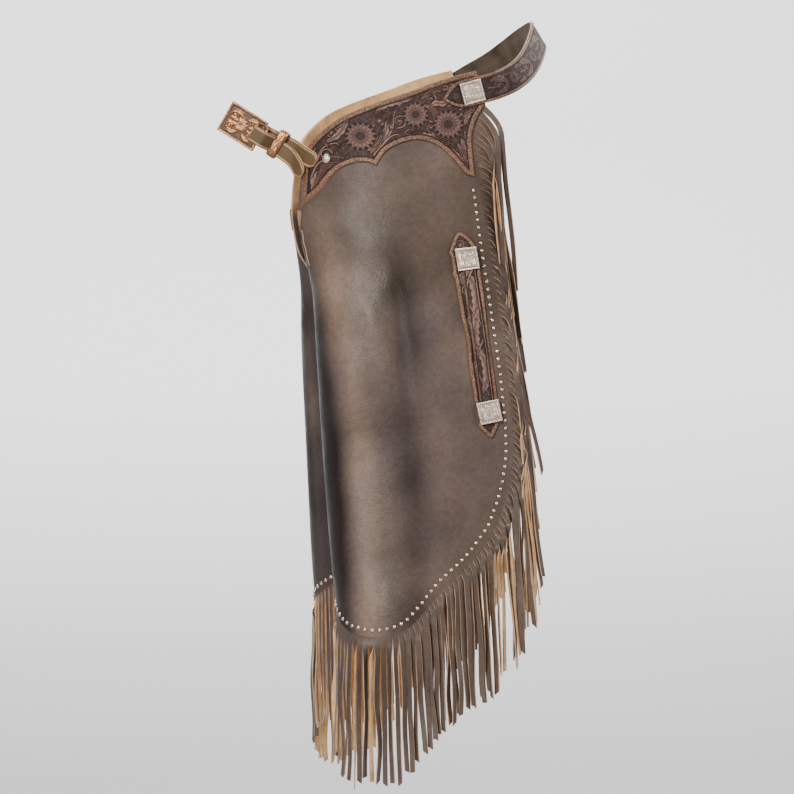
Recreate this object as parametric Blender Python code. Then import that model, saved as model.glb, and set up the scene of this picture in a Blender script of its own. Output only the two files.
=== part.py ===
"""Fringed western leather chaps (chinks), filled out as if worn, for Blender 4.5.

The wearer would face -X, with the left leg on the -Y side and +Z up. The origin is the middle of the waist
loop, at hip height. All sizes are in metres, and the tables below are in millimetres and degrees.
"""

import math

import bpy
import numpy as np

MM = 0.001

# Leather and seams
LEG_THICK = 2.0 * MM
YOKE_THICK = 2.6 * MM
BELT_THICK = 3.0 * MM
BELT_WIDTH = 34.0 * MM
PATCH_THICK = 2.2 * MM
SIDE_STRAP_THICK = 2.0 * MM
SIDE_STRAP_WIDTH = 17.0 * MM
SIDE_STRAP_ARCH = 2.5 * MM
FRONT_STRAP_THICK = 3.0 * MM
FRONT_STRAP_WIDTH = 21.0 * MM
LEG_STRAP_THICK = 2.5 * MM
LEG_STRAP_WIDTH = 25.0 * MM
SEAM_GAP = 0.3 * MM
PATCH_CLEAR = 0.7 * MM
INSIDE_CLEAR = 1.7 * MM
FRINGE_CLEAR = 0.5 * MM
STRAP_CLEAR = 0.8 * MM

# Hardware
PLATE_SIZE = 27.0 * MM
PLATE_THICK = 2.4 * MM
SNAP_RADIUS = 5.5 * MM
SNAP_HEIGHT = 3.0 * MM

# Fringe
STRIP_WIDTH = 6.0 * MM
STRAND_THICK = 1.6 * MM
STRAND_LENGTH = 186.0 * MM
STRAND_LENGTH_CHANGE = 14.0 * MM
SIDE_PITCH = 12.5 * MM
HEM_PITCH = 7.8 * MM
SIDE_STRAND_WIDTH = 4.6 * MM
HEM_STRAND_WIDTH = 6.0 * MM

# The leg's section at each height: where its front fold stands, the heading there, the length of the turn to the
# outside and to the inside of the leg, and how much the rear of the outer side turns back in.
LEG_SECTIONS = (
    # z, front_x, front_y, start_deg, outer_turn, inner_turn, rear_deg_per_m
    (120, -116, -48, 35, 215, 120, 30),
    (60, -119, -47, 35, 215, 120, 30),
    (-30, -124, -44, 33, 212, 110, 25),
    (-100, -131, -40, 25, 205, 95, 20),
    (-140, -125, -46, 16, 192, 90, 15),
    (-195, -116, -67, 6, 170, 95, 10),
    (-265, -113, -82, 0, 155, 110, 8),
    (-395, -106, -93, 0, 150, 120, 8),
    (-460, -102, -101, 0, 148, 120, 8),
    (-535, -97, -112, 0, 146, 118, 8),
    (-590, -92, -122, 0, 145, 115, 8),
    (-660, -87, -130, 0, 145, 115, 8),
)

# Soft troughs pressed into the leg's outer side: top and bottom as x and z, width and depth
LEG_TROUGHS = (
    # top_x, top_z, low_x, low_z, width, depth
    (-6, -195, 18, -340, 26, 3.2),
    (-62, -240, -38, -560, 30, 2.6),
    (46, -300, 40, -520, 34, 2.2),
)

# The top edge of the yoke and the leg, from the front corner to the rear corner
TOP_EDGE = (
    # x, z
    (-123.5, -29),
    (-116, -16),
    (-103, -0.5),
    (-81, 17),
    (-51, 31),
    (-7, 46.5),
    (38, 63),
    (80, 74),
)

# The rear edge of the leg, from the rear corner down to where it becomes the hem
REAR_EDGE = (
    # x, z
    (80, 74),
    (88, 50),
    (90, 33),
    (81, 16),
    (75, -5),
    (76, -30),
    (81, -57),
    (86.5, -100),
    (92.5, -158),
    (99.5, -218),
    (107.5, -278),
    (114, -335),
    (117, -380),
    (115.5, -413),
    (106, -455),
    (92, -491),
)

# The hem on the outer side, from the rear edge forward to the lowest point
HEM_EDGE = (
    # x, z
    (92, -491),
    (64, -527),
    (28, -560),
    (1, -592),
    (-17, -609),
    (-38, -617),
    (-60, -619),
    (-80, -614),
)

# The rest of the hem, round the front fold to the inner side of the leg
HEM_INSIDE = (
    # distance from the front fold (minus is inside), z
    (0, -593),
    (-40, -572),
    (-85, -548),
    (-128, -530),
)

# The inner edge, from the hem up and forward to the yoke's front tip, and up the yoke's front edge
INNER_EDGE = (
    # distance from the front fold (minus is inside), z
    (-128, -530),
    (-132, -440),
    (-128, -340),
    (-108, -265),
    (-68, -210),
    (-24, -165),
    (-4, -130),
    (0, -100),
    (0, -60),
    (0, -29),
)

# The yoke's lower edge, lobe by lobe, from the front tip to the rear tip
YOKE_LOBES = (
    # x, z
    ((-126, -95), (-115, -83.5), (-103, -71)),
    ((-103, -71), (-99, -64), (-86, -48.5), (-67, -39.5), (-52, -39), (-42, -43)),
    ((-42, -43), (-31, -26), (-13.5, -15.5), (8, -11), (27, -15.5), (42, -25.5), (56.5, -40.5), (69, -54), (79, -57)),
)
LOBE_COLUMNS = (4, 9, 15)

# The side patch's left and right outline, from the top tip to the bottom tip
PATCH_EDGES = (
    # z, left_x, right_x
    (-126, 56, 61),
    (-134, 51, 72),
    (-146, 46.5, 79),
    (-151, 45.2, 80),
    (-156, 47.6, 80.6),
    (-172, 49.3, 82.3),
    (-177, 48.2, 82.8),
    (-182, 51, 83.4),
    (-200, 53.2, 85.6),
    (-231, 57.8, 88.4),
    (-259, 64.6, 91),
    (-286, 65.8, 95),
    (-325, 72.2, 100.4),
    (-331, 72, 100.8),
    (-337, 75, 101.4),
    (-358, 78.6, 102.2),
    (-364, 77.4, 101.4),
    (-370, 83, 98.5),
    (-378, 91.6, 95),
)

# The side strap's middle line over the patch
SIDE_STRAP_LINE = (
    # z, x
    (-152, 66),
    (-200, 70.5),
    (-250, 77),
    (-300, 83.5),
    (-354, 90.5),
)
SIDE_PLATES = ((66.2, -160.5), (90.6, -346.5))
SNAP_PLACE = (-98.0, -35.0)
BELT_PLATE_X = 75.0
BELT_LEAVES = 93.0

# The belt's middle line, from the pointed end on the left yoke round the back to the one on the right yoke
BELT_LINE = (
    # x, y, z, lean_deg
    (39, -120, 38.5, 15),
    (60, -121, 44.5, 15),
    (84, -120, 50.5, 16),
    (106, -113, 56, 20),
    (128, -97, 65, 24),
    (148, -72, 79, 28),
    (164, -39, 100, 31),
    (173, 0, 119, 31),
    (165, 41, 113, 30),
    (150, 75, 98, 28),
    (130, 98, 81, 24),
    (107, 114, 66, 20),
    (84, 120, 53, 16),
    (60, 121, 45, 15),
    (39, 120, 38.5, 15),
)


def smooth_rows(rows, count_each=8):
    """Points on a smooth curve through the rows of a table (a centripetal spline), with each row kept."""
    pts = np.array(rows, dtype=float)
    padded = np.vstack([2 * pts[0] - pts[1], pts, 2 * pts[-1] - pts[-2]])
    out = [pts[0]]
    for i in range(1, len(padded) - 2):
        p0, p1, p2, p3 = padded[i - 1 : i + 3]
        t0 = 0.0
        t1 = t0 + max(np.linalg.norm(p1 - p0), 1e-9) ** 0.5
        t2 = t1 + max(np.linalg.norm(p2 - p1), 1e-9) ** 0.5
        t3 = t2 + max(np.linalg.norm(p3 - p2), 1e-9) ** 0.5
        for k in range(1, count_each + 1):
            t = t1 + (t2 - t1) * k / count_each
            a1 = (t1 - t) / (t1 - t0) * p0 + (t - t0) / (t1 - t0) * p1
            a2 = (t2 - t) / (t2 - t1) * p1 + (t - t1) / (t2 - t1) * p2
            a3 = (t3 - t) / (t3 - t2) * p2 + (t - t2) / (t3 - t2) * p3
            b1 = (t2 - t) / (t2 - t0) * a1 + (t - t0) / (t2 - t0) * a2
            b2 = (t3 - t) / (t3 - t1) * a2 + (t - t1) / (t3 - t1) * a3
            out.append((t2 - t) / (t2 - t1) * b1 + (t - t1) / (t2 - t1) * b2)
    return np.array(out)


def even_points(curve, count):
    """The curve's points spaced evenly along its length."""
    steps = np.linalg.norm(np.diff(curve, axis=0), axis=1)
    length = np.concatenate([[0.0], np.cumsum(steps)])
    want = np.linspace(0.0, length[-1], count)
    return np.column_stack([np.interp(want, length, curve[:, c]) for c in range(curve.shape[1])])


def smoothstep(value):
    """0 below 0, 1 above 1, and soft between."""
    t = np.clip(value, 0.0, 1.0)
    return t * t * (3.0 - 2.0 * t)


SECTION_CURVE = smooth_rows(LEG_SECTIONS)
QUADRATURE, WEIGHTS = np.polynomial.legendre.leggauss(14)
QUADRATURE = 0.5 * (QUADRATURE + 1.0)
WEIGHTS = 0.5 * WEIGHTS


def section_values(z):
    """Front x and y, start angle, outer turn, inner turn and rear turn of the leg's section at a height."""
    heights = SECTION_CURVE[::-1, 0]
    return [np.interp(z / MM, heights, SECTION_CURVE[::-1, c]) for c in range(1, 7)]


def heading(q, values):
    """The section's heading at distance q from the front fold: 0 points out to the side, 90 points back."""
    start, outer, inner, rear = values[2], values[3] * MM, values[4] * MM, values[5]
    outside = start + (90.0 - start) * np.sin(0.5 * math.pi * np.clip(q / outer, 0.0, 1.0))
    outside = outside + rear * np.maximum(q - outer, 0.0)
    inside = start - (90.0 + start) * np.sin(0.5 * math.pi * np.clip(-q / inner, 0.0, 1.0))
    return np.radians(np.where(q >= 0.0, outside, inside))


def trough_depth(x, z):
    """How far the soft troughs press the outer side in at a place."""
    depth = 0.0
    for top_x, top_z, low_x, low_z, width, deep in LEG_TROUGHS:
        along = (z / MM - top_z) / (low_z - top_z)
        centre = top_x + (low_x - top_x) * along
        across = (x / MM - centre) / width
        ends = smoothstep(along * 4.0 + 0.5) * smoothstep((1.0 - along) * 4.0 + 0.5)
        depth += deep * MM * np.exp(-across * across) * ends
    return depth


def leg_point(q, z):
    """A point on the inside face of the left leg, at distance q round from the front fold and height z."""
    values = section_values(z)
    angles = heading(q * QUADRATURE, values)
    x = values[0] * MM + q * float(np.sum(WEIGHTS * np.sin(angles)))
    y = values[1] * MM - q * float(np.sum(WEIGHTS * np.cos(angles)))
    if q > 0.0:
        y += trough_depth(x, z) * smoothstep(q / 0.08)
    return np.array([x, y, z])


def leg_normal(q, z):
    """The direction out of the leather there."""
    step = 1.5 * MM
    across = leg_point(q + step, z) - leg_point(q - step, z)
    down = leg_point(q, z - step) - leg_point(q, z + step)
    normal = np.cross(down, across)
    return normal / np.linalg.norm(normal)


def outer_q(x, z):
    """The distance round from the front fold of a place on the outer side that is given by x."""
    tries = np.linspace(0.0, 0.34, 69)
    found = [leg_point(q, z)[0] for q in tries]
    return float(np.interp(x, found, tries))


def on_leg(x, z, lift):
    """A point over the left leg's outer side, given by x and z in millimetres and by its height over the inside."""
    q = outer_q(x * MM, z * MM)
    return leg_point(q, z * MM) + leg_normal(q, z * MM) * lift


def material(name, colour, roughness, metallic=0.0):
    """A plain finish with the colour of the piece."""
    made = bpy.data.materials.new(name)
    made.use_nodes = True
    shader = made.node_tree.nodes["Principled BSDF"]
    shader.inputs["Base Color"].default_value = (*colour, 1.0)
    shader.inputs["Roughness"].default_value = roughness
    shader.inputs["Metallic"].default_value = metallic
    return made


def make_object(name, points, faces, finish):
    """An object from points in metres and faces that point out."""
    mesh = bpy.data.meshes.new(name)
    mesh.from_pydata([tuple(float(v) for v in p) for p in points], [], faces)
    mesh.validate()
    mesh.materials.append(finish)
    mesh.shade_smooth()
    mesh.set_sharp_from_angle(angle=math.radians(40))
    thing = bpy.data.objects.new(name, mesh)
    bpy.context.scene.collection.objects.link(thing)
    return thing


def wall(name, lower, upper, finish, side=-1):
    """A closed wall between two grids of points, lower being the inside. Side 1 mirrors it to the right leg."""
    low = np.array(lower)
    high = np.array(upper)
    rows, cols = low.shape[:2]
    points = np.concatenate([low.reshape(-1, 3), high.reshape(-1, 3)])
    if side > 0:
        points = points * np.array([1.0, -1.0, 1.0])
    offset = rows * cols
    faces = []
    for i in range(rows - 1):
        for j in range(cols - 1):
            a = i * cols + j
            for corner in ((a, a + 1, a + cols + 1), (a, a + cols + 1, a + cols)):
                faces.append(corner)
                faces.append(tuple(v + offset for v in reversed(corner)))
    rim = [j for j in range(cols)]
    rim += [i * cols + cols - 1 for i in range(1, rows)]
    rim += [(rows - 1) * cols + j for j in range(cols - 2, -1, -1)]
    rim += [i * cols for i in range(rows - 2, 0, -1)]
    for k, a in enumerate(rim):
        b = rim[(k + 1) % len(rim)]
        faces.append((b, a, a + offset, b + offset))
    if signed_volume(points, faces) < 0.0:
        faces = [tuple(reversed(face)) for face in faces]
    return make_object(name, points, faces, finish)


def signed_volume(points, faces):
    """The volume that the faces close in, below zero where they point in."""
    total = 0.0
    for face in faces:
        for k in range(1, len(face) - 1):
            total += np.dot(points[face[0]], np.cross(points[face[k]], points[face[k + 1]]))
    return total / 6.0


def coons(top, bottom, left, right):
    """A grid that fills four edges: top and bottom run left to right, left and right run top to bottom."""
    cols = len(top)
    rows = len(left)
    u = np.linspace(0.0, 1.0, cols)[None, :, None]
    v = np.linspace(0.0, 1.0, rows)[:, None, None]
    ruled = (1 - v) * top[None] + v * bottom[None] + (1 - u) * left[:, None] + u * right[:, None]
    corners = (1 - u) * (1 - v) * top[0] + u * (1 - v) * top[-1] + (1 - u) * v * bottom[0] + u * v * bottom[-1]
    return ruled - corners


def edge_q(rows, count_each=8):
    """A smooth outer-side edge given as x and z in millimetres, as distances round the leg and heights in metres."""
    curve = smooth_rows(rows, count_each)
    return np.array([(outer_q(x * MM, z * MM), z * MM) for x, z in curve])


def lift_grid(grid, lift):
    """The points of a grid of places on the leg, moved out from its inside face."""
    return [[leg_point(q, z) + leg_normal(q, z) * lift for q, z in row] for row in grid]


def grid_wall(name, grid, low, thick, finish, side):
    """A wall over a grid of places on the leg, from a lift to that lift and the thickness."""
    return wall(name, lift_grid(grid, low), lift_grid(grid, low + thick), finish, side)


YOKE_LIFT = LEG_THICK + SEAM_GAP
BELT_LIFT = YOKE_LIFT + YOKE_THICK + SEAM_GAP
BELT_PLATE_LIFT = BELT_LIFT + BELT_THICK + SEAM_GAP
PATCH_LIFT = LEG_THICK + PATCH_CLEAR
SIDE_STRAP_LIFT = PATCH_LIFT + PATCH_THICK + SEAM_GAP
SIDE_PLATE_LIFT = SIDE_STRAP_LIFT + SIDE_STRAP_THICK + SEAM_GAP
SIDES = (("left", -1), ("right", 1))

LEG_ROWS = 22
LEG_COLS = 17


def leg_edges():
    """The leg's four edges as places on it: top, hem, inner edge and rear edge."""
    top = edge_q(TOP_EDGE)
    rear = edge_q(REAR_EDGE)
    hem_inside = smooth_rows(HEM_INSIDE) * MM
    hem_outside = edge_q(HEM_EDGE)
    join = np.array([hem_outside[-1], 0.5 * (hem_outside[-1] + hem_inside[0]) + (0.0, -0.0015), hem_inside[0]])
    hem = np.vstack([hem_outside[:-1], smooth_rows(join, 4)[:-1], hem_inside])
    inner = smooth_rows(INNER_EDGE) * MM
    return top, hem, inner, rear


def leg_grid(edges):
    """The grid of places that each leg is built on, from the top row down to the hem."""
    top, hem, inner, rear = edges
    return coons(
        even_points(top, LEG_COLS),
        even_points(hem[::-1], LEG_COLS),
        even_points(inner[::-1], LEG_ROWS),
        even_points(rear, LEG_ROWS),
    )


def make_leg(grid, finish):
    """Each leg: one wall of leather round the front and the outside of the thigh."""
    for label, side in SIDES:
        grid_wall(f"leg_{label}", grid, 0.0, LEG_THICK, finish, side)


def make_yoke(edges, finish):
    """Each yoke: scalloped leather over the hip, with its top edge on the leg's."""
    columns = sum(LOBE_COLUMNS) + 1
    lower = []
    for lobe, count in zip(YOKE_LOBES, LOBE_COLUMNS):
        lower.extend(even_points(edge_q(lobe), count + 1)[:-1])
    lower.append(edge_q(YOKE_LOBES[-1])[-1])
    lower = np.array(lower)
    top = even_points(edges[0], columns)
    front = even_points(np.array([top[0], lower[0]]), 7)
    rear_rows = [row for row in REAR_EDGE if row[1] > -57] + [(79, -57)]
    rear = even_points(edge_q(rear_rows), 7)
    grid = coons(top, lower, front, rear)
    for label, side in SIDES:
        grid_wall(f"yoke_{label}", grid, YOKE_LIFT, YOKE_THICK, finish, side)


def plate_grid(centre, lean_deg, size, cells=3):
    """A square grid of places on the leg's outer side, turned by an angle, given by x and z in millimetres."""
    angle = math.radians(lean_deg)
    rows = []
    for i in range(cells + 1):
        row = []
        for j in range(cells + 1):
            u = (j / cells - 0.5) * size / MM
            v = (0.5 - i / cells) * size / MM
            x = centre[0] + u * math.cos(angle) - v * math.sin(angle)
            z = centre[1] + u * math.sin(angle) + v * math.cos(angle)
            row.append((outer_q(x * MM, z * MM), z * MM))
        rows.append(row)
    return np.array(rows)


def make_side_patch(finish, strap_finish, plate_finish):
    """The long patch on the outside of each thigh, with its strap and its two square plates."""
    grid = []
    for z, left_x, right_x in PATCH_EDGES:
        grid.append([(outer_q(x * MM, z * MM), z * MM) for x in np.linspace(left_x, right_x, 5)])
    strap_rows = []
    line = even_points(smooth_rows(SIDE_STRAP_LINE), 17)
    for z, x in line:
        row = []
        for across in (-0.5, 0.0, 0.5):
            row.append((outer_q((x + across * SIDE_STRAP_WIDTH / MM) * MM, z * MM), z * MM))
        strap_rows.append(row)
    low, high = [], []
    for i, row in enumerate(strap_rows):
        t = (i / (len(strap_rows) - 1) - 0.13) / 0.74
        arch = SIDE_STRAP_ARCH * math.sin(math.pi * min(max(t, 0.0), 1.0))
        low.append([leg_point(q, z) + leg_normal(q, z) * (SIDE_STRAP_LIFT + arch) for q, z in row])
        high.append([leg_point(q, z) + leg_normal(q, z) * (SIDE_STRAP_LIFT + SIDE_STRAP_THICK + arch) for q, z in row])
    for label, side in SIDES:
        grid_wall(f"side_patch_{label}", grid, PATCH_LIFT, PATCH_THICK, finish, side)
        wall(f"side_strap_{label}", low, high, strap_finish, side)
        for place, centre, lean in zip(("upper", "lower"), SIDE_PLATES, (7, 12)):
            square = plate_grid(centre, lean, PLATE_SIZE)
            grid_wall(f"side_plate_{place}_{label}", square, SIDE_PLATE_LIFT, PLATE_THICK, plate_finish, side)


def unit(vector):
    """The vector at length 1."""
    return vector / np.linalg.norm(vector)


def make_belt(finish, plate_finish):
    """The back belt from yoke to yoke, lying on both, and the square plate on each end."""
    line = smooth_rows(BELT_LINE, 12)
    steps = np.linalg.norm(np.diff(line[:, :3], axis=0), axis=1)
    length = np.concatenate([[0.0], np.cumsum(steps)])
    tip = [0.0, 2.0, 6.0, 11.0, 17.0, 24.0, 32.0]
    middle = np.linspace(tip[-1], length[-1] - tip[-1], 26)[1:-1]
    places = tip + list(middle) + [length[-1] - t for t in reversed(tip)]
    low, high = [], []
    for place in places:
        at = [np.interp(place, length, line[:, c]) for c in range(4)]
        ahead = np.array([np.interp(place + 2.0, length, line[:, c]) for c in range(3)])
        behind = np.array([np.interp(place - 2.0, length, line[:, c]) for c in range(3)])
        along = unit(ahead - behind)
        lean = math.radians(at[3])
        across = np.array([math.sin(lean), 0.0, -math.cos(lean)])
        across = unit(across - along * np.dot(across, along))
        out = unit(np.cross(across, along))
        if np.dot(out, (at[0] - 60.0, at[1], 0.0)) < 0.0:
            out = -out
        from_end = min(place, length[-1] - place)
        round_end = 1.0 - min(from_end / 30.0, 1.0)
        half = 0.5 * BELT_WIDTH * max(1.0 - round_end**2.2, 0.06)
        side = -1.0 if at[1] < 0.0 else 1.0
        low_row, high_row = [], []
        for v in (-1.0, -0.5, 0.0, 0.5, 1.0):
            free = np.array(at[:3]) * MM + across * half * v
            blend = smoothstep((free[0] / MM - BELT_LEAVES) / 24.0)
            free_high = free + out * BELT_THICK
            if blend < 1.0:
                worn = on_leg(free[0] / MM, free[2] / MM, BELT_LIFT)
                worn_high = on_leg(free[0] / MM, free[2] / MM, BELT_LIFT + BELT_THICK)
                flip = np.array([1.0, -side, 1.0])
                free = free * blend + worn * flip * (1.0 - blend)
                free_high = free_high * blend + worn_high * flip * (1.0 - blend)
            low_row.append(free)
            high_row.append(free_high)
        low.append(low_row)
        high.append(high_row)
    wall("belt", low, high, finish)
    z = float(np.interp(BELT_PLATE_X, [row[0] for row in BELT_LINE[:3]], [row[2] for row in BELT_LINE[:3]]))
    for label, side in SIDES:
        square = plate_grid((BELT_PLATE_X, z), 15, PLATE_SIZE)
        grid_wall(f"belt_plate_{label}", square, BELT_PLATE_LIFT, PLATE_THICK, plate_finish, side)


# The front straps lie on a sheet that leaves the yoke's front corner and runs forward to the fold at the buckle.
# Places on it are u, the distance back from the corner (minus is forward), and z.
CORNER_Z = -40.0 * MM
CORNER_TURN = 22.0 * MM
FORWARD_DEG = 22.0
FRONT_END_U = -100.0 * MM
FRONT_END_Z = 19.0 * MM
NEAR_LINE = (
    # u, z
    (-100, 19),
    (-60, 0.5),
    (-33, -13),
    (0, -29),
    (26, -40.5),
)
BILLET_LINE = (
    # u, z
    (-100, 19),
    (-60, -5),
    (-33, -21.5),
    (-10, -38),
    (10, -57),
)
NEAR_BASE_U = 25.0 * MM
BILLET_TIP_U = 9.0 * MM
BUCKLE_LENGTH = 48.0 * MM
BUCKLE_HEIGHT = 34.0 * MM
BUCKLE_THICK = 3.5 * MM
BUCKLE_U = -71.5 * MM
KEEPER_U = -33.0 * MM
KEEPER_LENGTH = 11.0 * MM
KEEPER_THICK = 2.0 * MM
FOLD_REACH = 8.5 * MM


def corner_place(z):
    """Where the sheet meets the yoke's front corner at a height, in plan, and its direction forward in degrees."""
    here = leg_point(0.0006, z) + leg_normal(0.0006, z) * BELT_LIFT
    return here[:2], 90.0 - section_values(z)[2]


def sheet(u, z, lift=0.0):
    """A point on the left front sheet, with a lift out from it."""
    if u >= 0.0:
        return leg_point(u + 0.0006, z) + leg_normal(u + 0.0006, z) * (BELT_LIFT + lift)
    start, first = corner_place(z)
    usual, _ = corner_place(CORNER_Z)
    count = 12
    place = start.copy()
    step = -u / count
    for k in range(count):
        angle = math.radians(first + (FORWARD_DEG - first) * smoothstep((k + 0.5) * step / CORNER_TURN))
        place += step * np.array([-math.cos(angle), math.sin(angle)])
    place += (usual - start) * smoothstep(-u / 0.04)
    angle = math.radians(first + (FORWARD_DEG - first) * smoothstep(-u / CORNER_TURN))
    out = np.array([-math.sin(angle), -math.cos(angle)])
    return np.array([*(place + out * lift), z])


def line_place(line, u):
    """The place of a strap's middle line on the sheet at u, and the way across the strap there."""
    curve = smooth_rows(line)
    ends = [float(np.interp((u + shift) / MM, curve[:, 0], curve[:, 1])) for shift in (-2.0 * MM, 0.0, 2.0 * MM)]
    slope = (ends[2] - ends[0]) / 4.0
    return np.array([u, ends[1] * MM]), unit(np.array([-slope, 1.0]))


def strap_row(line, u, half, lift, columns=3):
    """Points across a strap on the sheet, square to its middle line."""
    place, across = line_place(line, u)
    return [sheet(*(place + across * v * half), lift) for v in np.linspace(1.0, -1.0, columns)]


def make_front_straps(finish):
    """The left strap from its yoke to the buckle, and the right one round the buckle's bar and back over it."""
    half = 0.5 * FRONT_STRAP_WIDTH
    low, high = [], []
    for u in np.linspace(NEAR_BASE_U, FRONT_END_U + 0.004, 15):
        end = 1.0 - min((NEAR_BASE_U - u) / 0.010, 1.0)
        narrow = half * math.sqrt(max(1.0 - 0.8 * end * end, 0.0))
        low.append(strap_row(NEAR_LINE, u, narrow, 0.0))
        high.append(strap_row(NEAR_LINE, u, narrow, FRONT_STRAP_THICK))
    wall("front_strap_left", low, high, finish)

    over = FRONT_STRAP_THICK + STRAP_CLEAR
    mirror = np.array([1.0, -1.0, 1.0])
    low, high = [], []
    for u in np.linspace(NEAR_BASE_U, FRONT_END_U + 0.006, 14):
        end = 1.0 - min((NEAR_BASE_U - u) / 0.010, 1.0)
        narrow = half * math.sqrt(max(1.0 - 0.8 * end * end, 0.0))
        low.append([p * mirror for p in strap_row(NEAR_LINE, u, narrow, 0.0)])
        high.append([p * mirror for p in strap_row(NEAR_LINE, u, narrow, FRONT_STRAP_THICK)])
    back_low, back_high = [], []
    for u in np.linspace(FRONT_END_U + 0.006, BILLET_TIP_U, 14):
        end = 1.0 - min((BILLET_TIP_U - u) / 0.014, 1.0)
        narrow = half * math.sqrt(max(1.0 - 0.93 * end * end, 0.0))
        back_low.append(strap_row(BILLET_LINE, u, narrow, over))
        back_high.append(strap_row(BILLET_LINE, u, narrow, over + FRONT_STRAP_THICK))
    fold_low, fold_high = [], []
    outer_reach = FOLD_REACH + 1.3 * FRONT_STRAP_THICK
    for t in np.linspace(0.0, 1.0, 8)[1:-1]:
        fold_low.append([fold_point(low[-1][j], back_low[0][j], t, FOLD_REACH) for j in range(3)])
        fold_high.append([fold_point(high[-1][j], back_high[0][j], t, outer_reach) for j in range(3)])
    wall("front_strap_right", low + fold_low + back_low, high + fold_high + back_high, finish)


def fold_point(start, end, t, reach):
    """A point on the round fold in front of two ends of a strap."""
    forward = np.array([-1.0, 0.0, 0.35])
    bulge = 4.0 * t * (1.0 - t)
    spread = 0.5 - 0.5 * math.cos(math.pi * t)
    return start + (end - start) * spread + forward * reach * bulge**0.5


def make_buckle(finish, keeper_finish):
    """The plate of the front buckle over the straps, and the keeper round them."""
    over = 2.0 * FRONT_STRAP_THICK + STRAP_CLEAR + SEAM_GAP
    centre, across = line_place(BILLET_LINE, BUCKLE_U)
    along = np.array([across[1], -across[0]])
    low, high = [], []
    for v in np.linspace(0.5, -0.5, 4):
        places = [centre + along * BUCKLE_LENGTH * t + across * BUCKLE_HEIGHT * v for t in np.linspace(-0.5, 0.5, 6)]
        low.append([sheet(u, z, over) for u, z in places])
        high.append([sheet(u, z, over + BUCKLE_THICK) for u, z in places])
    wall("front_buckle", low, high, finish)

    centre, across = line_place(BILLET_LINE, KEEPER_U)
    along = np.array([across[1], -across[0]])
    centre = 0.5 * (centre + line_place(NEAR_LINE, KEEPER_U)[0])
    inner_half = 0.5 * FRONT_STRAP_WIDTH + 5.6 * MM
    ring_in = [(-inner_half, -SEAM_GAP), (-inner_half, over), (inner_half, over), (inner_half, -SEAM_GAP)]
    grow = KEEPER_THICK
    ring_out = [
        (-inner_half - grow, -SEAM_GAP - grow),
        (-inner_half - grow, over + grow),
        (inner_half + grow, over + grow),
        (inner_half + grow, -SEAM_GAP - grow),
    ]
    points, faces = [], []
    for t in (-0.5, 0.5):
        for ring in (ring_in, ring_out):
            for v, lift in ring:
                u, z = centre + along * KEEPER_LENGTH * t + across * v
                points.append(sheet(u, z, lift))
    for k in range(4):
        n = (k + 1) % 4
        faces.append((k, n, 4 + n, 4 + k))
        faces.append((8 + k, 12 + k, 12 + n, 8 + n))
        faces.append((4 + k, 4 + n, 12 + n, 12 + k))
        faces.append((k, 8 + k, 8 + n, n))
    if signed_volume(points, faces) < 0.0:
        faces = [tuple(reversed(face)) for face in faces]
    make_object("front_keeper", points, faces, keeper_finish)


def make_snaps(finish):
    """The round snap on each yoke's front corner."""
    base = on_leg(*SNAP_PLACE, BELT_LIFT)
    axis = unit(on_leg(*SNAP_PLACE, BELT_LIFT + 1.0 * MM) - base)
    first = unit(np.cross(axis, (0.0, 0.0, 1.0)))
    second = np.cross(axis, first)
    profile = ((1.0, 0.0), (1.0, 0.35), (0.86, 0.72), (0.5, 0.94))
    sides = 16
    for label, side in SIDES:
        points, faces = [base], []
        for radius, height in profile:
            for k in range(sides):
                angle = 2.0 * math.pi * k / sides
                spoke = first * math.cos(angle) + second * math.sin(angle)
                points.append(base + spoke * radius * SNAP_RADIUS + axis * height * SNAP_HEIGHT)
        points.append(base + axis * SNAP_HEIGHT)
        last = len(points) - 1
        for k in range(sides):
            n = (k + 1) % sides
            faces.append((0, 1 + n, 1 + k))
            for ring in range(len(profile) - 1):
                a = 1 + ring * sides
                faces.append((a + k, a + n, a + sides + n, a + sides + k))
            a = 1 + (len(profile) - 1) * sides
            faces.append((a + k, a + n, last))
        points = np.array(points)
        if side > 0:
            points = points * np.array([1.0, -1.0, 1.0])
        if signed_volume(points, faces) < 0.0:
            faces = [tuple(reversed(face)) for face in faces]
        make_object(f"snap_{label}", points, faces, finish)


TAB_ROWS = (
    # z, front_q, rear_q
    (-99.5, 0.6, 9.5),
    (-106, 0.6, 9.0),
    (-113, 0.8, 7.0),
    (-120, 1.0, 4.6),
    (-126, 1.2, 2.4),
)
TAB_THICK = 1.6 * MM


def make_tabs(finish):
    """The small tab of rough leather at the top of each leg's front edge."""
    grid = []
    for z, front, rear in TAB_ROWS:
        grid.append([(q * MM, z * MM) for q in np.linspace(front, rear, 3)])
    for label, side in SIDES:
        grid_wall(f"edge_tab_{label}", grid, YOKE_LIFT, TAB_THICK, finish, side)


LEG_STRAPS = (
    # name, outer_x, outer_z, inner_q, inner_z
    ("upper", 46, -172, -84, -262),
    ("lower", 66, -352, -98, -400),
)
STRAP_ON_WALL = 26.0 * MM
STRAP_REACH = 56.0 * MM


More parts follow.
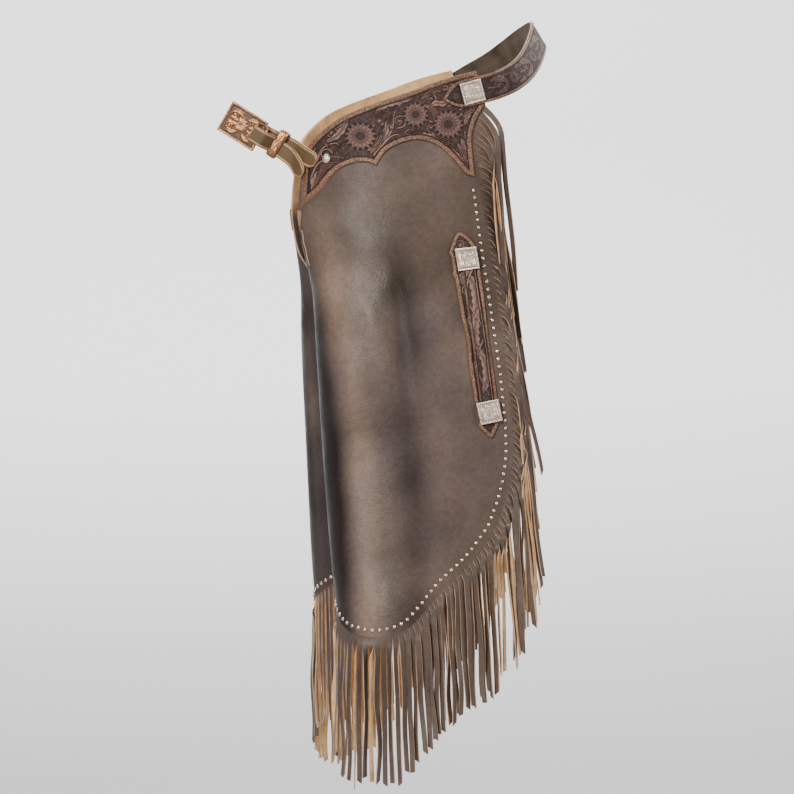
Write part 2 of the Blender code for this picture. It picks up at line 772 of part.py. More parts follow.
def make_leg_straps(finish):
    """Plain straps behind each thigh, from inside the outer wall to inside the inner edge."""
    sink = -(INSIDE_CLEAR + LEG_STRAP_THICK)
    for name, outer_x, outer_z, inner_q, inner_z in LEG_STRAPS:
        outer_at = outer_q(outer_x * MM, outer_z * MM)
        inner_start = inner_q * MM
        leave = leg_point(outer_at + STRAP_ON_WALL, outer_z * MM)
        leave_out = leg_normal(outer_at + STRAP_ON_WALL, outer_z * MM)
        leave_way = unit(np.cross((0.0, 0.0, 1.0), leave_out))
        arrive = leg_point(inner_start, inner_z * MM)
        arrive_out = leg_normal(inner_start, inner_z * MM)
        arrive_way = unit(np.cross((0.0, 0.0, 1.0), arrive_out))
        if leave_way[0] < 0.0:
            leave_way = -leave_way
        if arrive_way[0] < 0.0:
            arrive_way = -arrive_way
        low, high = [], []
        half = 0.5 * LEG_STRAP_WIDTH
        for t in (0.0, 0.5, 1.0):
            q = outer_at + STRAP_ON_WALL * t
            row = [(q, outer_z * MM + v * half) for v in (1.0, 0.0, -1.0)]
            low.append([leg_point(a, b) + leg_normal(a, b) * sink for a, b in row])
            high.append([leg_point(a, b) - leg_normal(a, b) * INSIDE_CLEAR for a, b in row])
        p0, p3 = leave - leave_out * INSIDE_CLEAR, arrive - arrive_out * INSIDE_CLEAR
        p1, p2 = p0 + leave_way * STRAP_REACH, p3 + arrive_way * STRAP_REACH * 1.6
        for k in range(1, 12):
            t = k / 12.0
            place = (1 - t) ** 3 * p0 + 3 * t * (1 - t) ** 2 * p1 + 3 * t * t * (1 - t) * p2 + t**3 * p3
            way = 3 * (1 - t) ** 2 * (p1 - p0) + 6 * t * (1 - t) * (p2 - p1) + 3 * t * t * (p3 - p2)
            out = unit(np.cross(way, (0.0, 0.0, 1.0)))
            up = np.array([0.0, 0.0, 1.0])
            high.append([place + up * half * v for v in (1.0, 0.0, -1.0)])
            low.append([place + up * half * v - out * LEG_STRAP_THICK for v in (1.0, 0.0, -1.0)])
        for t in (0.0, 0.5, 1.0):
            q = inner_start + STRAP_ON_WALL * t
            row = [(q, inner_z * MM + v * half) for v in (1.0, 0.0, -1.0)]
            low.append([leg_point(a, b) + leg_normal(a, b) * sink for a, b in row])
            high.append([leg_point(a, b) - leg_normal(a, b) * INSIDE_CLEAR for a, b in row])
        for label, side in SIDES:
            wall(f"leg_strap_{name}_{label}", low, high, finish, side)


# How the strands hang: roots from the belt down to the hem
FRINGE_TOP_Z = 30.0 * MM
FRINGE_LAST_Q = -104.0 * MM
LAYER_STEP = 8.6 * MM
STRAND_LEANS = (
    # root_z, lean
    (-700, 0.02),
    (-491, 0.05),
    (-413, 0.12),
    (-300, 0.22),
    (-10, 0.25),
    (33, 0.22),
)
SIDE_RINGS = (6.0, 15.0, 30.0, 95.0)
HEM_RINGS = (70.0,)
BEND = 17.0 * MM


class Edge:
    """The leg's cut edge in space, by the distance along it from the belt end, corner by corner of the leg."""

    def __init__(self, places):
        self.points = np.array([leg_point(q, z) for q, z in places])
        self.normals = np.array([leg_normal(q, z) for q, z in places])
        steps = np.linalg.norm(np.diff(self.points, axis=0), axis=1)
        self.length = np.concatenate([[0.0], np.cumsum(steps)])
        outs = []
        for k, normal in enumerate(self.normals):
            before = self.points[max(k - 1, 0)]
            after = self.points[min(k + 1, len(places) - 1)]
            outs.append(unit(np.cross(normal, after - before)))
        self.outs = np.array(outs)

    def at(self, s):
        """The point, the leather's normal there and the way out of the edge."""
        point, normal, out = [
            np.array([float(np.interp(s, self.length, table[:, c])) for c in range(3)])
            for table in (self.points, self.normals, self.outs)
        ]
        return point, normal, unit(out)


def fringe_edge(grid):
    """The edge that is cut into strands, from under the belt down the rear edge and along the hem."""
    rear = [place for place in grid[:, -1] if place[1] <= FRINGE_TOP_Z]
    hem = [place for place in grid[-1, ::-1] if place[0] >= FRINGE_LAST_Q]
    return Edge(rear + hem[1:])


def strand_rings(edge, s, width, length, layer):
    """The four corners of a strand at each ring below its root, and how upright its stretch of the edge is."""
    point, normal, out = edge.at(s)
    upright = math.hypot(out[0], out[1])
    root = point + out * (FRINGE_CLEAR + STRIP_WIDTH) + normal * 0.5 * LEG_THICK
    level = np.array([out[0], out[1], 0.0])
    level = unit(level) if upright > 0.05 else np.zeros(3)
    heights = [row[0] for row in STRAND_LEANS]
    lean = float(np.interp(point[2] / MM, heights, [row[1] for row in STRAND_LEANS])) * upright
    down = unit(np.array([0.0, 0.0, -1.0]) + level * lean)
    rings = SIDE_RINGS if upright > 0.42 else HEM_RINGS
    wanted = [r * MM for r in rings] + [length]
    centre = root.copy()
    step = 1.0 * MM
    travelled = 0.0
    found = []
    while wanted:
        way = unit(out + (down - out) * smoothstep(travelled / BEND))
        centre = centre + way * step
        travelled += step
        if travelled + 1e-9 >= wanted[0]:
            wanted.pop(0)
            across = unit(np.cross(way, normal))
            turn = math.asin(min(upright, 1.0)) * smoothstep(travelled / (14.0 * MM))
            wide = across * math.cos(turn) + np.cross(way, across) * math.sin(turn)
            deep = np.cross(wide, way)
            place = centre + normal * layer * LAYER_STEP * upright**2 * smoothstep(travelled / (27.0 * MM))
            w, d = wide * 0.5 * width, deep * 0.5 * STRAND_THICK
            found.append([place - w - d, place + w - d, place + w + d, place - w + d])
    return found


def make_fringe(grid, finish):
    """The fringe of each leg: a narrow strip along the edge with every strand growing from it."""
    edge = fringe_edge(grid)
    spots = []
    s = 5.0 * MM
    while s < edge.length[-1] - 4.0 * MM:
        out = edge.at(s)[2]
        upright = min(math.hypot(out[0], out[1]), 1.0)
        pitch = HEM_PITCH + (SIDE_PITCH - HEM_PITCH) * upright**2
        width = HEM_STRAND_WIDTH + (SIDE_STRAND_WIDTH - HEM_STRAND_WIDTH) * upright
        spots.append((s, width))
        s += pitch
    cuts = [0.0]
    for s, width in spots:
        cuts += [s - 0.5 * width, s + 0.5 * width]
    cuts.append(edge.length[-1])
    points, faces = [], []
    for s in cuts:
        point, normal, out = edge.at(s)
        inner = point + out * FRINGE_CLEAR
        outer = point + out * (FRINGE_CLEAR + STRIP_WIDTH)
        points += [inner, outer, outer + normal * LEG_THICK, inner + normal * LEG_THICK]
    for k in range(len(cuts) - 1):
        a, b = 4 * k, 4 * k + 4
        faces.append((a, a + 1, b + 1, b))
        faces.append((a + 3, b + 3, b + 2, a + 2))
        faces.append((a, b, b + 3, a + 3))
        if k % 2 == 0:
            faces.append((a + 1, a + 2, b + 2, b + 1))
    last = 4 * (len(cuts) - 1)
    faces.append((0, 3, 2, 1))
    faces.append((last, last + 1, last + 2, last + 3))
    for i, (s, width) in enumerate(spots):
        length = STRAND_LENGTH + STRAND_LENGTH_CHANGE * math.sin(2.4 * i) * math.sin(0.7 * i)
        a = 4 * (2 * i + 1)
        ring = (a + 1, a + 5, a + 6, a + 2)
        for corners in strand_rings(edge, s, width, length, (0, 1, -1)[i % 3]):
            start = len(points)
            points.extend(corners)
            below = (start, start + 1, start + 2, start + 3)
            for k in range(4):
                n = (k + 1) % 4
                faces.append((ring[n], ring[k], below[k], below[n]))
            ring = below
        faces.append(tuple(reversed(ring)))
    for label, side in SIDES:
        shown = np.array(points)
        if side > 0:
            shown = shown * np.array([1.0, -1.0, 1.0])
        turned = faces
        if signed_volume(shown, faces) < 0.0:
            turned = [tuple(reversed(face)) for face in faces]
        make_object(f"fringe_{label}", shown, turned, finish)


def main():
    for thing in list(bpy.data.objects):
        bpy.data.objects.remove(thing, do_unlink=True)
    leather = material("oiled_leather", (0.16, 0.125, 0.10), 0.45)
    tooled = material("tooled_leather", (0.075, 0.04, 0.035), 0.5)
    tan = material("tan_leather", (0.32, 0.2, 0.1), 0.5)
    rough = material("rough_leather", (0.4, 0.26, 0.16), 0.8)
    silver = material("engraved_silver", (0.75, 0.66, 0.55), 0.3, 1.0)
    copper = material("engraved_copper", (0.5, 0.28, 0.17), 0.35, 1.0)
    edges = leg_edges()
    grid = leg_grid(edges)
    make_leg(grid, leather)
    make_yoke(edges, tooled)
    make_side_patch(tooled, tooled, silver)
    make_belt(tooled, silver)
    make_front_straps(tan)
    make_buckle(copper, copper)
    make_snaps(silver)
    make_tabs(rough)
    make_leg_straps(leather)
    make_fringe(grid, leather)


main()
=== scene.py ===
# %% [markdown]
# # Fringed western chaps
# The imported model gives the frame: where every leather panel, strap and plate lies. This script dresses it. The
# wearer would face -X, with the left leg on the -Y side and +Z up, and the origin is the middle of the waist loop.

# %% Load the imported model
import math

import bpy
import numpy as np
from mathutils import Matrix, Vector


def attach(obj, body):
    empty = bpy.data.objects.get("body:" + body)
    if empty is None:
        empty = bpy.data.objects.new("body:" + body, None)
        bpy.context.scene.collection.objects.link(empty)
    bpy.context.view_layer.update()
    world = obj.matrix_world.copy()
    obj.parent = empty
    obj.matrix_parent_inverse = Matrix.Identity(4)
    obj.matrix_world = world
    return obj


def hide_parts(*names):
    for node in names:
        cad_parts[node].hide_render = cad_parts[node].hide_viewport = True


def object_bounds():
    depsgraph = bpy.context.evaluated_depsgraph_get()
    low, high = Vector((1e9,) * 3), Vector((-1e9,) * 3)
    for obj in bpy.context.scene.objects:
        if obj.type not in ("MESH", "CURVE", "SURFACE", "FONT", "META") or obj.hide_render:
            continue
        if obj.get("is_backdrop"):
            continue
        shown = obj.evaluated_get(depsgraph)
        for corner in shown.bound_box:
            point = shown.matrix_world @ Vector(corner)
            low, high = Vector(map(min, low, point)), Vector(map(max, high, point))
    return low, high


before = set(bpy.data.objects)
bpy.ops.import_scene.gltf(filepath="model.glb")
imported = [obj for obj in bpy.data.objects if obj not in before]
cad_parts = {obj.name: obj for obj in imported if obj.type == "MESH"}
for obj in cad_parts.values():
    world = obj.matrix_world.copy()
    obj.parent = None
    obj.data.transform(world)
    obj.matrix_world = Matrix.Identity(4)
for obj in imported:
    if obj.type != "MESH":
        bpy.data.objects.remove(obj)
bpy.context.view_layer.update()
MM = 0.001
print(len(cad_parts), "nodes in the frame")

# %% [markdown]
# ## Camera, light and floor
# The photo was taken with a long lens, a little above the belt's height. The light is a large soft key at the
# left of the camera, a weaker fill at the right and a pale room.

# %% Camera
VIEW_AZIMUTH = math.radians(-7.0)
VIEW_ELEVATION = math.radians(2.5)
VIEW_DISTANCE = 10.0
PICTURE_WIDTH_M = 0.9925

right = np.array([math.cos(VIEW_AZIMUTH), math.sin(VIEW_AZIMUTH), 0.0])
back = np.array(
    [
        math.sin(VIEW_AZIMUTH) * math.cos(VIEW_ELEVATION),
        -math.cos(VIEW_AZIMUTH) * math.cos(VIEW_ELEVATION),
        math.sin(VIEW_ELEVATION),
    ]
)
up = np.cross(back, right)
aim = right * -0.00375 + up * -0.334
camera_data = bpy.data.cameras.new("photo_camera")
camera_data.sensor_width = 36.0
camera_data.lens = 36.0 * VIEW_DISTANCE / PICTURE_WIDTH_M
camera_data.clip_end = 40.0
camera = bpy.data.objects.new("photo_camera", camera_data)
bpy.context.scene.collection.objects.link(camera)
turn = np.eye(4)
turn[:3, 0], turn[:3, 1], turn[:3, 2] = right, up, back
turn[:3, 3] = aim + back * VIEW_DISTANCE
camera.matrix_world = Matrix(turn.tolist())
bpy.context.scene.camera = camera
print("camera stands at", np.round(turn[:3, 3], 2))


# %% Lights and room
def area_light(name, place, target, size, power, colour):
    """A soft square lamp at a place, turned to a target."""
    data = bpy.data.lights.new(name, "AREA")
    data.shape = "RECTANGLE"
    data.size, data.size_y = size
    data.energy = power
    data.color = colour
    lamp = bpy.data.objects.new(name, data)
    bpy.context.scene.collection.objects.link(lamp)
    way = np.array(place, dtype=float) - np.array(target, dtype=float)
    way /= np.linalg.norm(way)
    side = np.cross((0.0, 0.0, 1.0), way)
    side /= np.linalg.norm(side)
    pose = np.eye(4)
    pose[:3, 0], pose[:3, 1], pose[:3, 2] = side, np.cross(way, side), way
    pose[:3, 3] = place
    lamp.matrix_world = Matrix(pose.tolist())
    return lamp


area_light("key", (-2.3, -3.2, 1.5), (0.0, 0.0, -0.3), (0.8, 1.9), 135.0, (1.0, 0.97, 0.92))
area_light("fill", (2.6, -3.0, 0.9), (0.0, 0.0, -0.35), (1.4, 2.0), 52.0, (0.97, 0.98, 1.0))
area_light("rim", (2.4, 1.6, 1.2), (0.0, 0.0, -0.25), (0.8, 1.8), 40.0, (1.0, 0.97, 0.93))
area_light("wall", (0.0, 0.9, 3.2), (0.0, 3.8, 0.6), (5.0, 1.2), 290.0, (0.98, 0.98, 1.0))

world = bpy.data.worlds.new("studio")
world.use_nodes = True
world.node_tree.nodes["Background"].inputs["Color"].default_value = (0.86, 0.88, 0.92, 1.0)
world.node_tree.nodes["Background"].inputs["Strength"].default_value = 0.42
bpy.context.scene.world = world
bpy.context.scene.view_settings.look = "AgX - Medium High Contrast"

floor_data = bpy.data.meshes.new("floor")
SWEEP = (
    # y, z, half width
    (-7.0, -1.02, 9.0),
    (2.2, -1.02, 9.0),
    (2.9, -0.9, 2.0),
    (3.4, -0.55, 1.9),
    (3.7, -0.05, 1.8),
    (3.8, 0.8, 1.8),
    (3.8, 3.0, 1.8),
)
floor_points = [(x, y, z) for y, z, half in SWEEP for x in (-half, half)]
floor_faces = [(2 * k, 2 * k + 1, 2 * k + 3, 2 * k + 2) for k in range(len(SWEEP) - 1)]
floor_data.from_pydata(floor_points, [], floor_faces)
floor_data.shade_smooth()
floor = bpy.data.objects.new("floor", floor_data)
bpy.context.scene.collection.objects.link(floor)
paper = bpy.data.materials.new("studio_paper")
paper.use_nodes = True
paper_nodes, paper_links = paper.node_tree.nodes, paper.node_tree.links
paper_place = paper_nodes.new("ShaderNodeTexCoord")
paper_split = paper_nodes.new("ShaderNodeSeparateXYZ")
paper_rise = paper_nodes.new("ShaderNodeMapRange")
paper_tone = paper_nodes.new("ShaderNodeValToRGB")
# Painted shade: the paper's colour is darker at the floor and lighter up the wall.
paper_rise.inputs["From Min"].default_value = -1.02
paper_rise.inputs["From Max"].default_value = 0.2
for element, tone in zip(paper_tone.color_ramp.elements, (0.4, 0.76)):
    element.color = (tone, tone * 1.005, tone * 1.02, 1.0)
paper_tone.color_ramp.elements[1].position = 0.45
paper_links.new(paper_place.outputs["Object"], paper_split.inputs["Vector"])
paper_links.new(paper_split.outputs["Z"], paper_rise.inputs["Value"])
paper_links.new(paper_rise.outputs["Result"], paper_tone.inputs["Fac"])
paper_links.new(paper_tone.outputs["Color"], paper_nodes["Principled BSDF"].inputs["Base Color"])
paper_nodes["Principled BSDF"].inputs["Roughness"].default_value = 0.9
floor_data.materials.append(paper)
floor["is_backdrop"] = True
print("floor at", SWEEP[0][1])

# %% [markdown]
# ## Materials
# Every finish is made of nodes that read object coordinates or the numbers stored on a mesh. `relief` is how high
# a tooled surface stands, from 0 in the ground to 1 on top, and `border` is 1 on the stamped edge.


# %% Node helpers
class Finish:
    """A Principled material with short calls to add and link nodes."""

    def __init__(self, name, roughness=0.5, metallic=0.0):
        self.material = bpy.data.materials.new(name)
        self.material.use_nodes = True
        self.tree = self.material.node_tree
        self.shader = self.tree.nodes["Principled BSDF"]
        self.shader.inputs["Roughness"].default_value = roughness
        self.shader.inputs["Metallic"].default_value = metallic
        self.place = self.node("ShaderNodeTexCoord").outputs["Object"]

    def node(self, kind, **settings):
        made = self.tree.nodes.new(kind)
        for key, value in settings.items():
            setattr(made, key, value)
        return made

    def link(self, source, target):
        self.tree.links.new(source, target)

    def noise(self, scale, detail=3.0, rough=0.5, stretch=None):
        """Fractal noise over the object, stretched along an axis if asked."""
        made = self.node("ShaderNodeTexNoise")
        made.inputs["Scale"].default_value = scale
        made.inputs["Detail"].default_value = detail
        made.inputs["Roughness"].default_value = rough
        source = self.place
        if stretch:
            mapping = self.node("ShaderNodeMapping")
            mapping.inputs["Scale"].default_value = stretch
            self.link(self.place, mapping.inputs["Vector"])
            source = mapping.outputs["Vector"]
        self.link(source, made.inputs["Vector"])
        return made.outputs["Fac"]

    def ramp(self, source, stops):
        """A colour ramp over a value, from (position, colour) stops."""
        made = self.node("ShaderNodeValToRGB")
        elements = made.color_ramp.elements
        while len(elements) < len(stops):
            elements.new(0.5)
        for element, (position, colour) in zip(elements, stops):
            element.position = position
            element.color = (*colour, 1.0)
        self.link(source, made.inputs["Fac"])
        return made.outputs["Color"]

    def mix(self, factor, first, second, mode="MIX"):
        """Two colours mixed by a value or a number."""
        made = self.node("ShaderNodeMix", data_type="RGBA", blend_type=mode)
        for value, socket in ((factor, made.inputs[0]), (first, made.inputs[6]), (second, made.inputs[7])):
            if isinstance(value, tuple):
                socket.default_value = (*value, 1.0)
            elif isinstance(value, float):
                socket.default_value = value
            else:
                self.link(value, socket)
        return made.outputs[2]

    def stretch_range(self, source, low, high, to_low, to_high):
        """A value moved from one range to another."""
        made = self.node("ShaderNodeMapRange")
        for name, value in (("From Min", low), ("From Max", high), ("To Min", to_low), ("To Max", to_high)):
            made.inputs[name].default_value = value
        self.link(source, made.inputs["Value"])
        return made.outputs["Result"]

    def stored(self, name):
        """A number stored on the mesh."""
        return self.node("ShaderNodeAttribute", attribute_name=name).outputs["Fac"]

    def normal(self, group, **values):
        """Puts a node group's normal on the shader."""
        made = self.node("ShaderNodeGroup")
        made.node_tree = group
        for key, value in values.items():
            made.inputs[key].default_value = value
        self.link(self.place, made.inputs["Place"])
        self.link(made.outputs["Normal"], self.shader.inputs["Normal"])
        return made


def grain_group():
    """Leather grain: small pebbles, fine pores and a slow unevenness, as one bumped normal."""
    group = bpy.data.node_groups.new("leather_grain", "ShaderNodeTree")
    group.interface.new_socket("Place", in_out="INPUT", socket_type="NodeSocketVector")
    for name, value in (("Pebble", 420.0), ("Depth", 0.35), ("Slow", 0.25)):
        socket = group.interface.new_socket(name, in_out="INPUT", socket_type="NodeSocketFloat")
        socket.default_value = value
    group.interface.new_socket("Normal", in_out="OUTPUT", socket_type="NodeSocketVector")
    nodes, links = group.nodes, group.links
    entry = nodes.new("NodeGroupInput")
    leave = nodes.new("NodeGroupOutput")
    pebble = nodes.new("ShaderNodeTexVoronoi")
    pebble.feature = "SMOOTH_F1"
    pebble.inputs["Smoothness"].default_value = 0.6
    links.new(entry.outputs["Place"], pebble.inputs["Vector"])
    links.new(entry.outputs["Pebble"], pebble.inputs["Scale"])
    pores = nodes.new("ShaderNodeTexNoise")
    pores.inputs["Scale"].default_value = 1500.0
    pores.inputs["Detail"].default_value = 2.0
    links.new(entry.outputs["Place"], pores.inputs["Vector"])
    slow = nodes.new("ShaderNodeTexNoise")
    slow.inputs["Scale"].default_value = 22.0
    slow.inputs["Detail"].default_value = 2.0
    links.new(entry.outputs["Place"], slow.inputs["Vector"])
    wide = nodes.new("ShaderNodeBump")
    wide.inputs["Distance"].default_value = 0.004
    links.new(entry.outputs["Slow"], wide.inputs["Strength"])
    links.new(slow.outputs["Fac"], wide.inputs["Height"])
    middle = nodes.new("ShaderNodeBump")
    middle.inputs["Distance"].default_value = 0.0006
    links.new(entry.outputs["Depth"], middle.inputs["Strength"])
    links.new(pebble.outputs["Distance"], middle.inputs["Height"])
    links.new(wide.outputs["Normal"], middle.inputs["Normal"])
    fine = nodes.new("ShaderNodeBump")
    fine.inputs["Distance"].default_value = 0.0003
    links.new(entry.outputs["Depth"], fine.inputs["Strength"])
    links.new(pores.outputs["Fac"], fine.inputs["Height"])
    links.new(middle.outputs["Normal"], fine.inputs["Normal"])
    links.new(fine.outputs["Normal"], leave.inputs["Normal"])
    return group


GRAIN = grain_group()


def oiled_leather(name, dark, mid, light, cool, roughness):
    """Oiled grain leather: cloudy brown with cooler patches, made lighter by a painted highlight where a stored number
    is high and darker by painted shade where it is low."""
    made = Finish(name)
    cloud = made.noise(5.5, 4.0, 0.55)
    base = made.ramp(cloud, [(0.3, dark), (0.5, mid), (0.72, light)])
    patch = made.noise(7.5, 3.0, 0.5, (1.0, 1.0, 0.45))
    patch = made.stretch_range(patch, 0.47, 0.62, 0.0, 0.75)
    base = made.mix(patch, base, cool)
    speck = made.noise(160.0, 4.0, 0.65)
    speck = made.ramp(speck, [(0.35, (0.72, 0.72, 0.72)), (0.65, (1.12, 1.1, 1.08))])
    base = made.mix(0.55, base, speck, "MULTIPLY")
    # Painted light: a stored number lays a painted highlight and painted shade into the colour.
    painted_light = made.stretch_range(made.stored("painted_light"), -1.0, 1.0, 0.0, 1.0)
    painted_light = made.ramp(painted_light, [(0.0, (0.14, 0.12, 0.12)), (0.5, (0.62, 0.6, 0.6)), (1.0, (1.05, 1.0, 0.96))])
    made.link(made.mix(1.0, base, painted_light, "MULTIPLY"), made.shader.inputs["Base Color"])
    shine = made.stretch_range(made.noise(34.0, 3.0), 0.3, 0.7, roughness - 0.07, roughness + 0.09)
    made.link(shine, made.shader.inputs["Roughness"])
    made.shader.inputs["Specular IOR Level"].default_value = 0.34
    made.normal(GRAIN, Pebble=560.0, Depth=0.32, Slow=0.3)
    return made.material


def suede(name, dark, light):
    """The flesh side or a cut edge: pale, dry and fibrous."""
    made = Finish(name, roughness=0.88)
    base = made.ramp(made.noise(40.0, 5.0, 0.65), [(0.3, dark), (0.68, light)])
    fibre = made.noise(900.0, 3.0, 0.6)
    fibre = made.ramp(fibre, [(0.3, (0.72, 0.7, 0.68)), (0.7, (1.1, 1.1, 1.1))])
    made.link(made.mix(0.6, base, fibre, "MULTIPLY"), made.shader.inputs["Base Color"])
    made.shader.inputs["Sheen Weight"].default_value = 0.25
    made.shader.inputs["Sheen Roughness"].default_value = 0.5
    made.normal(GRAIN, Pebble=900.0, Depth=0.7, Slow=0.2)
    return made.material


def tooled_leather(name, ground, low, high, edge_dark, edge_light):
    """Tooled leather: dark antiqued ground, rubbed relief and a stamped, speckled border."""
    made = Finish(name)
    relief = made.stored("relief")
    carved = made.ramp(relief, [(0.06, ground), (0.4, low), (0.9, high)])
    stamp = made.node("ShaderNodeTexVoronoi")
    stamp.inputs["Scale"].default_value = 620.0
    made.link(made.place, stamp.inputs["Vector"])
    speckle = made.ramp(stamp.outputs["Distance"], [(0.12, edge_light), (0.55, edge_dark)])
    base = made.mix(made.stored("border"), carved, speckle)
    cloud = made.ramp(made.noise(24.0, 3.0), [(0.3, (0.72, 0.74, 0.8)), (0.7, (1.15, 1.1, 1.05))])
    made.link(made.mix(0.7, base, cloud, "MULTIPLY"), made.shader.inputs["Base Color"])
    shine = made.stretch_range(relief, 0.0, 1.0, 0.62, 0.36)
    made.link(shine, made.shader.inputs["Roughness"])
    made.shader.inputs["Specular IOR Level"].default_value = 0.5
    made.normal(GRAIN, Pebble=1000.0, Depth=0.55, Slow=0.05)
    return made.material


def engraved_metal(name, shade, bright, roughness):
    """Engraved metal: bright where it stands and darkened in the cuts."""
    made = Finish(name, metallic=1.0)
    relief = made.stored("relief")
    base = made.ramp(relief, [(0.0, shade), (0.45, bright), (1.0, tuple(min(1.0, 1.15 * v) for v in bright))])
    tarnish = made.ramp(made.noise(60.0, 4.0, 0.6), [(0.3, (0.78, 0.76, 0.74)), (0.6, (1.0, 1.0, 1.0))])
    grains = made.node("ShaderNodeTexVoronoi")
    grains.inputs["Scale"].default_value = 750.0
    made.link(made.place, grains.inputs["Vector"])
    speck = made.ramp(grains.outputs["Distance"], [(0.1, (1.1, 1.08, 1.05)), (0.6, (0.42, 0.36, 0.3))])
    base = made.mix(0.55, base, speck, "MULTIPLY")
    made.link(made.mix(0.6, base, tarnish, "MULTIPLY"), made.shader.inputs["Base Color"])
    made.link(made.stretch_range(relief, 0.12, 0.45, 0.1, 1.0), made.shader.inputs["Metallic"])
    rough = made.stretch_range(made.noise(260.0, 3.0), 0.3, 0.7, roughness - 0.06, roughness + 0.1)
    made.link(rough, made.shader.inputs["Roughness"])
    made.normal(GRAIN, Pebble=1400.0, Depth=0.3, Slow=0.0)
    return made.material


# %% The finishes
LEATHER = oiled_leather(
    "oiled_leather", (0.125, 0.09, 0.07), (0.208, 0.157, 0.126), (0.305, 0.242, 0.195), (0.18, 0.138, 0.138), 0.4
)
def shaded_flesh(finish):
    """The leg's inside: flesh side, with painted shade along the front edge below the yoke."""
    made = finish.copy()
    made.name = "leg_inside"
    nodes, links = made.node_tree.nodes, made.node_tree.links
    split = nodes.new("ShaderNodeSeparateXYZ")
    links.new(nodes["Texture Coordinate"].outputs["Object"], split.inputs["Vector"])
    shares = []
    for axis, low, high in (("Z", -0.112, -0.088), ("X", -0.112, -0.098)):
        share = nodes.new("ShaderNodeMapRange")
        share.inputs["From Min"].default_value = low
        share.inputs["From Max"].default_value = high
        links.new(split.outputs[axis], share.inputs["Value"])
        shares.append(share.outputs["Result"])
    clear = nodes.new("ShaderNodeMath")
    clear.operation = "MAXIMUM"
    links.new(shares[0], clear.inputs[0])
    links.new(shares[1], clear.inputs[1])
    # Painted shade: a dark brown mixed into the flesh colour below the yoke near the front edge.
    shade_mix = nodes.new("ShaderNodeMix")
    shade_mix.data_type = "RGBA"
    shade_mix.inputs[6].default_value = (0.05, 0.032, 0.024, 1.0)
    shader = nodes["Principled BSDF"]
    links.new(clear.outputs[0], shade_mix.inputs[0])
    links.new(shader.inputs["Base Color"].links[0].from_socket, shade_mix.inputs[7])
    links.new(shade_mix.outputs[2], shader.inputs["Base Color"])
    return made


FLESH = suede("flesh_side", (0.52, 0.3, 0.14), (0.86, 0.57, 0.31))
CUT_EDGE = suede("cut_edge", (0.36, 0.22, 0.13), (0.68, 0.47, 0.31))
TOOLED = tooled_leather(
    "tooled_leather",
    (0.022, 0.01, 0.008),
    (0.1, 0.052, 0.042),
    (0.31, 0.19, 0.15),
    (0.15, 0.075, 0.046),
    (0.5, 0.3, 0.19),
)
TAN_TOOLED = tooled_leather(
    "tan_strap", (0.03, 0.018, 0.008), (0.12, 0.074, 0.033), (0.2, 0.125, 0.06), (0.42, 0.28, 0.15), (0.7, 0.52, 0.33)
)
LEG_INSIDE = shaded_flesh(FLESH)
TAB = suede("rough_tab", (0.13, 0.075, 0.045), (0.42, 0.26, 0.16))
LINING = suede("belt_lining", (0.05, 0.038, 0.028), (0.14, 0.11, 0.08))
SILVER = engraved_metal("engraved_silver", (0.09, 0.055, 0.04), (0.98, 0.84, 0.72), 0.34)
COPPER = engraved_metal("engraved_copper", (0.022, 0.01, 0.006), (0.56, 0.31, 0.18), 0.3)
STUD = engraved_metal("stud_metal", (0.2, 0.14, 0.1), (0.88, 0.74, 0.6), 0.22)
THREAD = suede("waxed_thread", (0.5, 0.36, 0.2), (0.8, 0.64, 0.42))
print(len(bpy.data.materials), "materials")

# %% [markdown]
# ## The leg's surface
# Each leg is cut from a sheet that turns round the front of the thigh. A place on it is `q`, the distance round
# from the front fold (minus is the inner side), and `z`, the height. Everything that lies on the leg is lifted from
# the same surface, creases included. The tables are in millimetres and degrees.

# %% Section tables
LEG_THICK = 2.0 * MM
YOKE_LIFT, YOKE_THICK = 2.3 * MM, 2.6 * MM
BELT_LIFT, BELT_THICK = 5.2 * MM, 3.0 * MM
BELT_WIDTH = 34.0 * MM
PLATE_SIZE = 27.0 * MM
PATCH_LIFT, PATCH_THICK = 2.7 * MM, 2.2 * MM
SIDE_STRAP_LIFT, SIDE_STRAP_THICK, SIDE_STRAP_WIDTH = 5.2 * MM, 2.0 * MM, 17.0 * MM
SIDES = (("left", -1), ("right", 1))

LEG_SECTIONS = (
    # z, front_x, front_y, start_deg, outer_turn, inner_turn, rear_deg_per_m
    (120, -116, -48, 35, 215, 120, 30),
    (60, -119, -47, 35, 215, 120, 30),
    (-30, -124, -44, 33, 212, 110, 25),
    (-100, -131, -40, 25, 205, 95, 20),
    (-140, -125, -46, 16, 192, 90, 15),
    (-195, -116, -67, 6, 170, 95, 10),
    (-265, -113, -82, 0, 155, 110, 8),
    (-395, -106, -93, 0, 150, 120, 8),
    (-460, -102, -101, 0, 148, 120, 8),
    (-535, -97, -112, 0, 146, 118, 8),
    (-590, -92, -122, 0, 145, 115, 8),
    (-660, -87, -130, 0, 145, 115, 8),
)
LEG_TROUGHS = (
    # top_x, top_z, low_x, low_z, width, depth
    (-6, -195, 18, -340, 26, 3.2),
    (-62, -240, -38, -560, 30, 2.6),
    (46, -300, 40, -520, 34, 2.2),
)
CREASES = (
    # top_x, top_z, low_x, low_z, width, depth (minus stands up)
    (-16, -175, 4, -345, 9, 1.3),
    (-30, -150, -12, -300, 12, -0.9),
    (-76, -330, -56, -575, 11, 1.1),
    (22, -380, 8, -560, 10, 0.8),
    (58, -230, 50, -400, 9, 0.7),
    (-95, -120, -58, -215, 14, 1.2),
    (-84, -150, -40, -260, 10, -0.8),
    (70, -410, 52, -500, 12, 0.9),
    (30, -110, 44, -190, 14, 0.8),
)
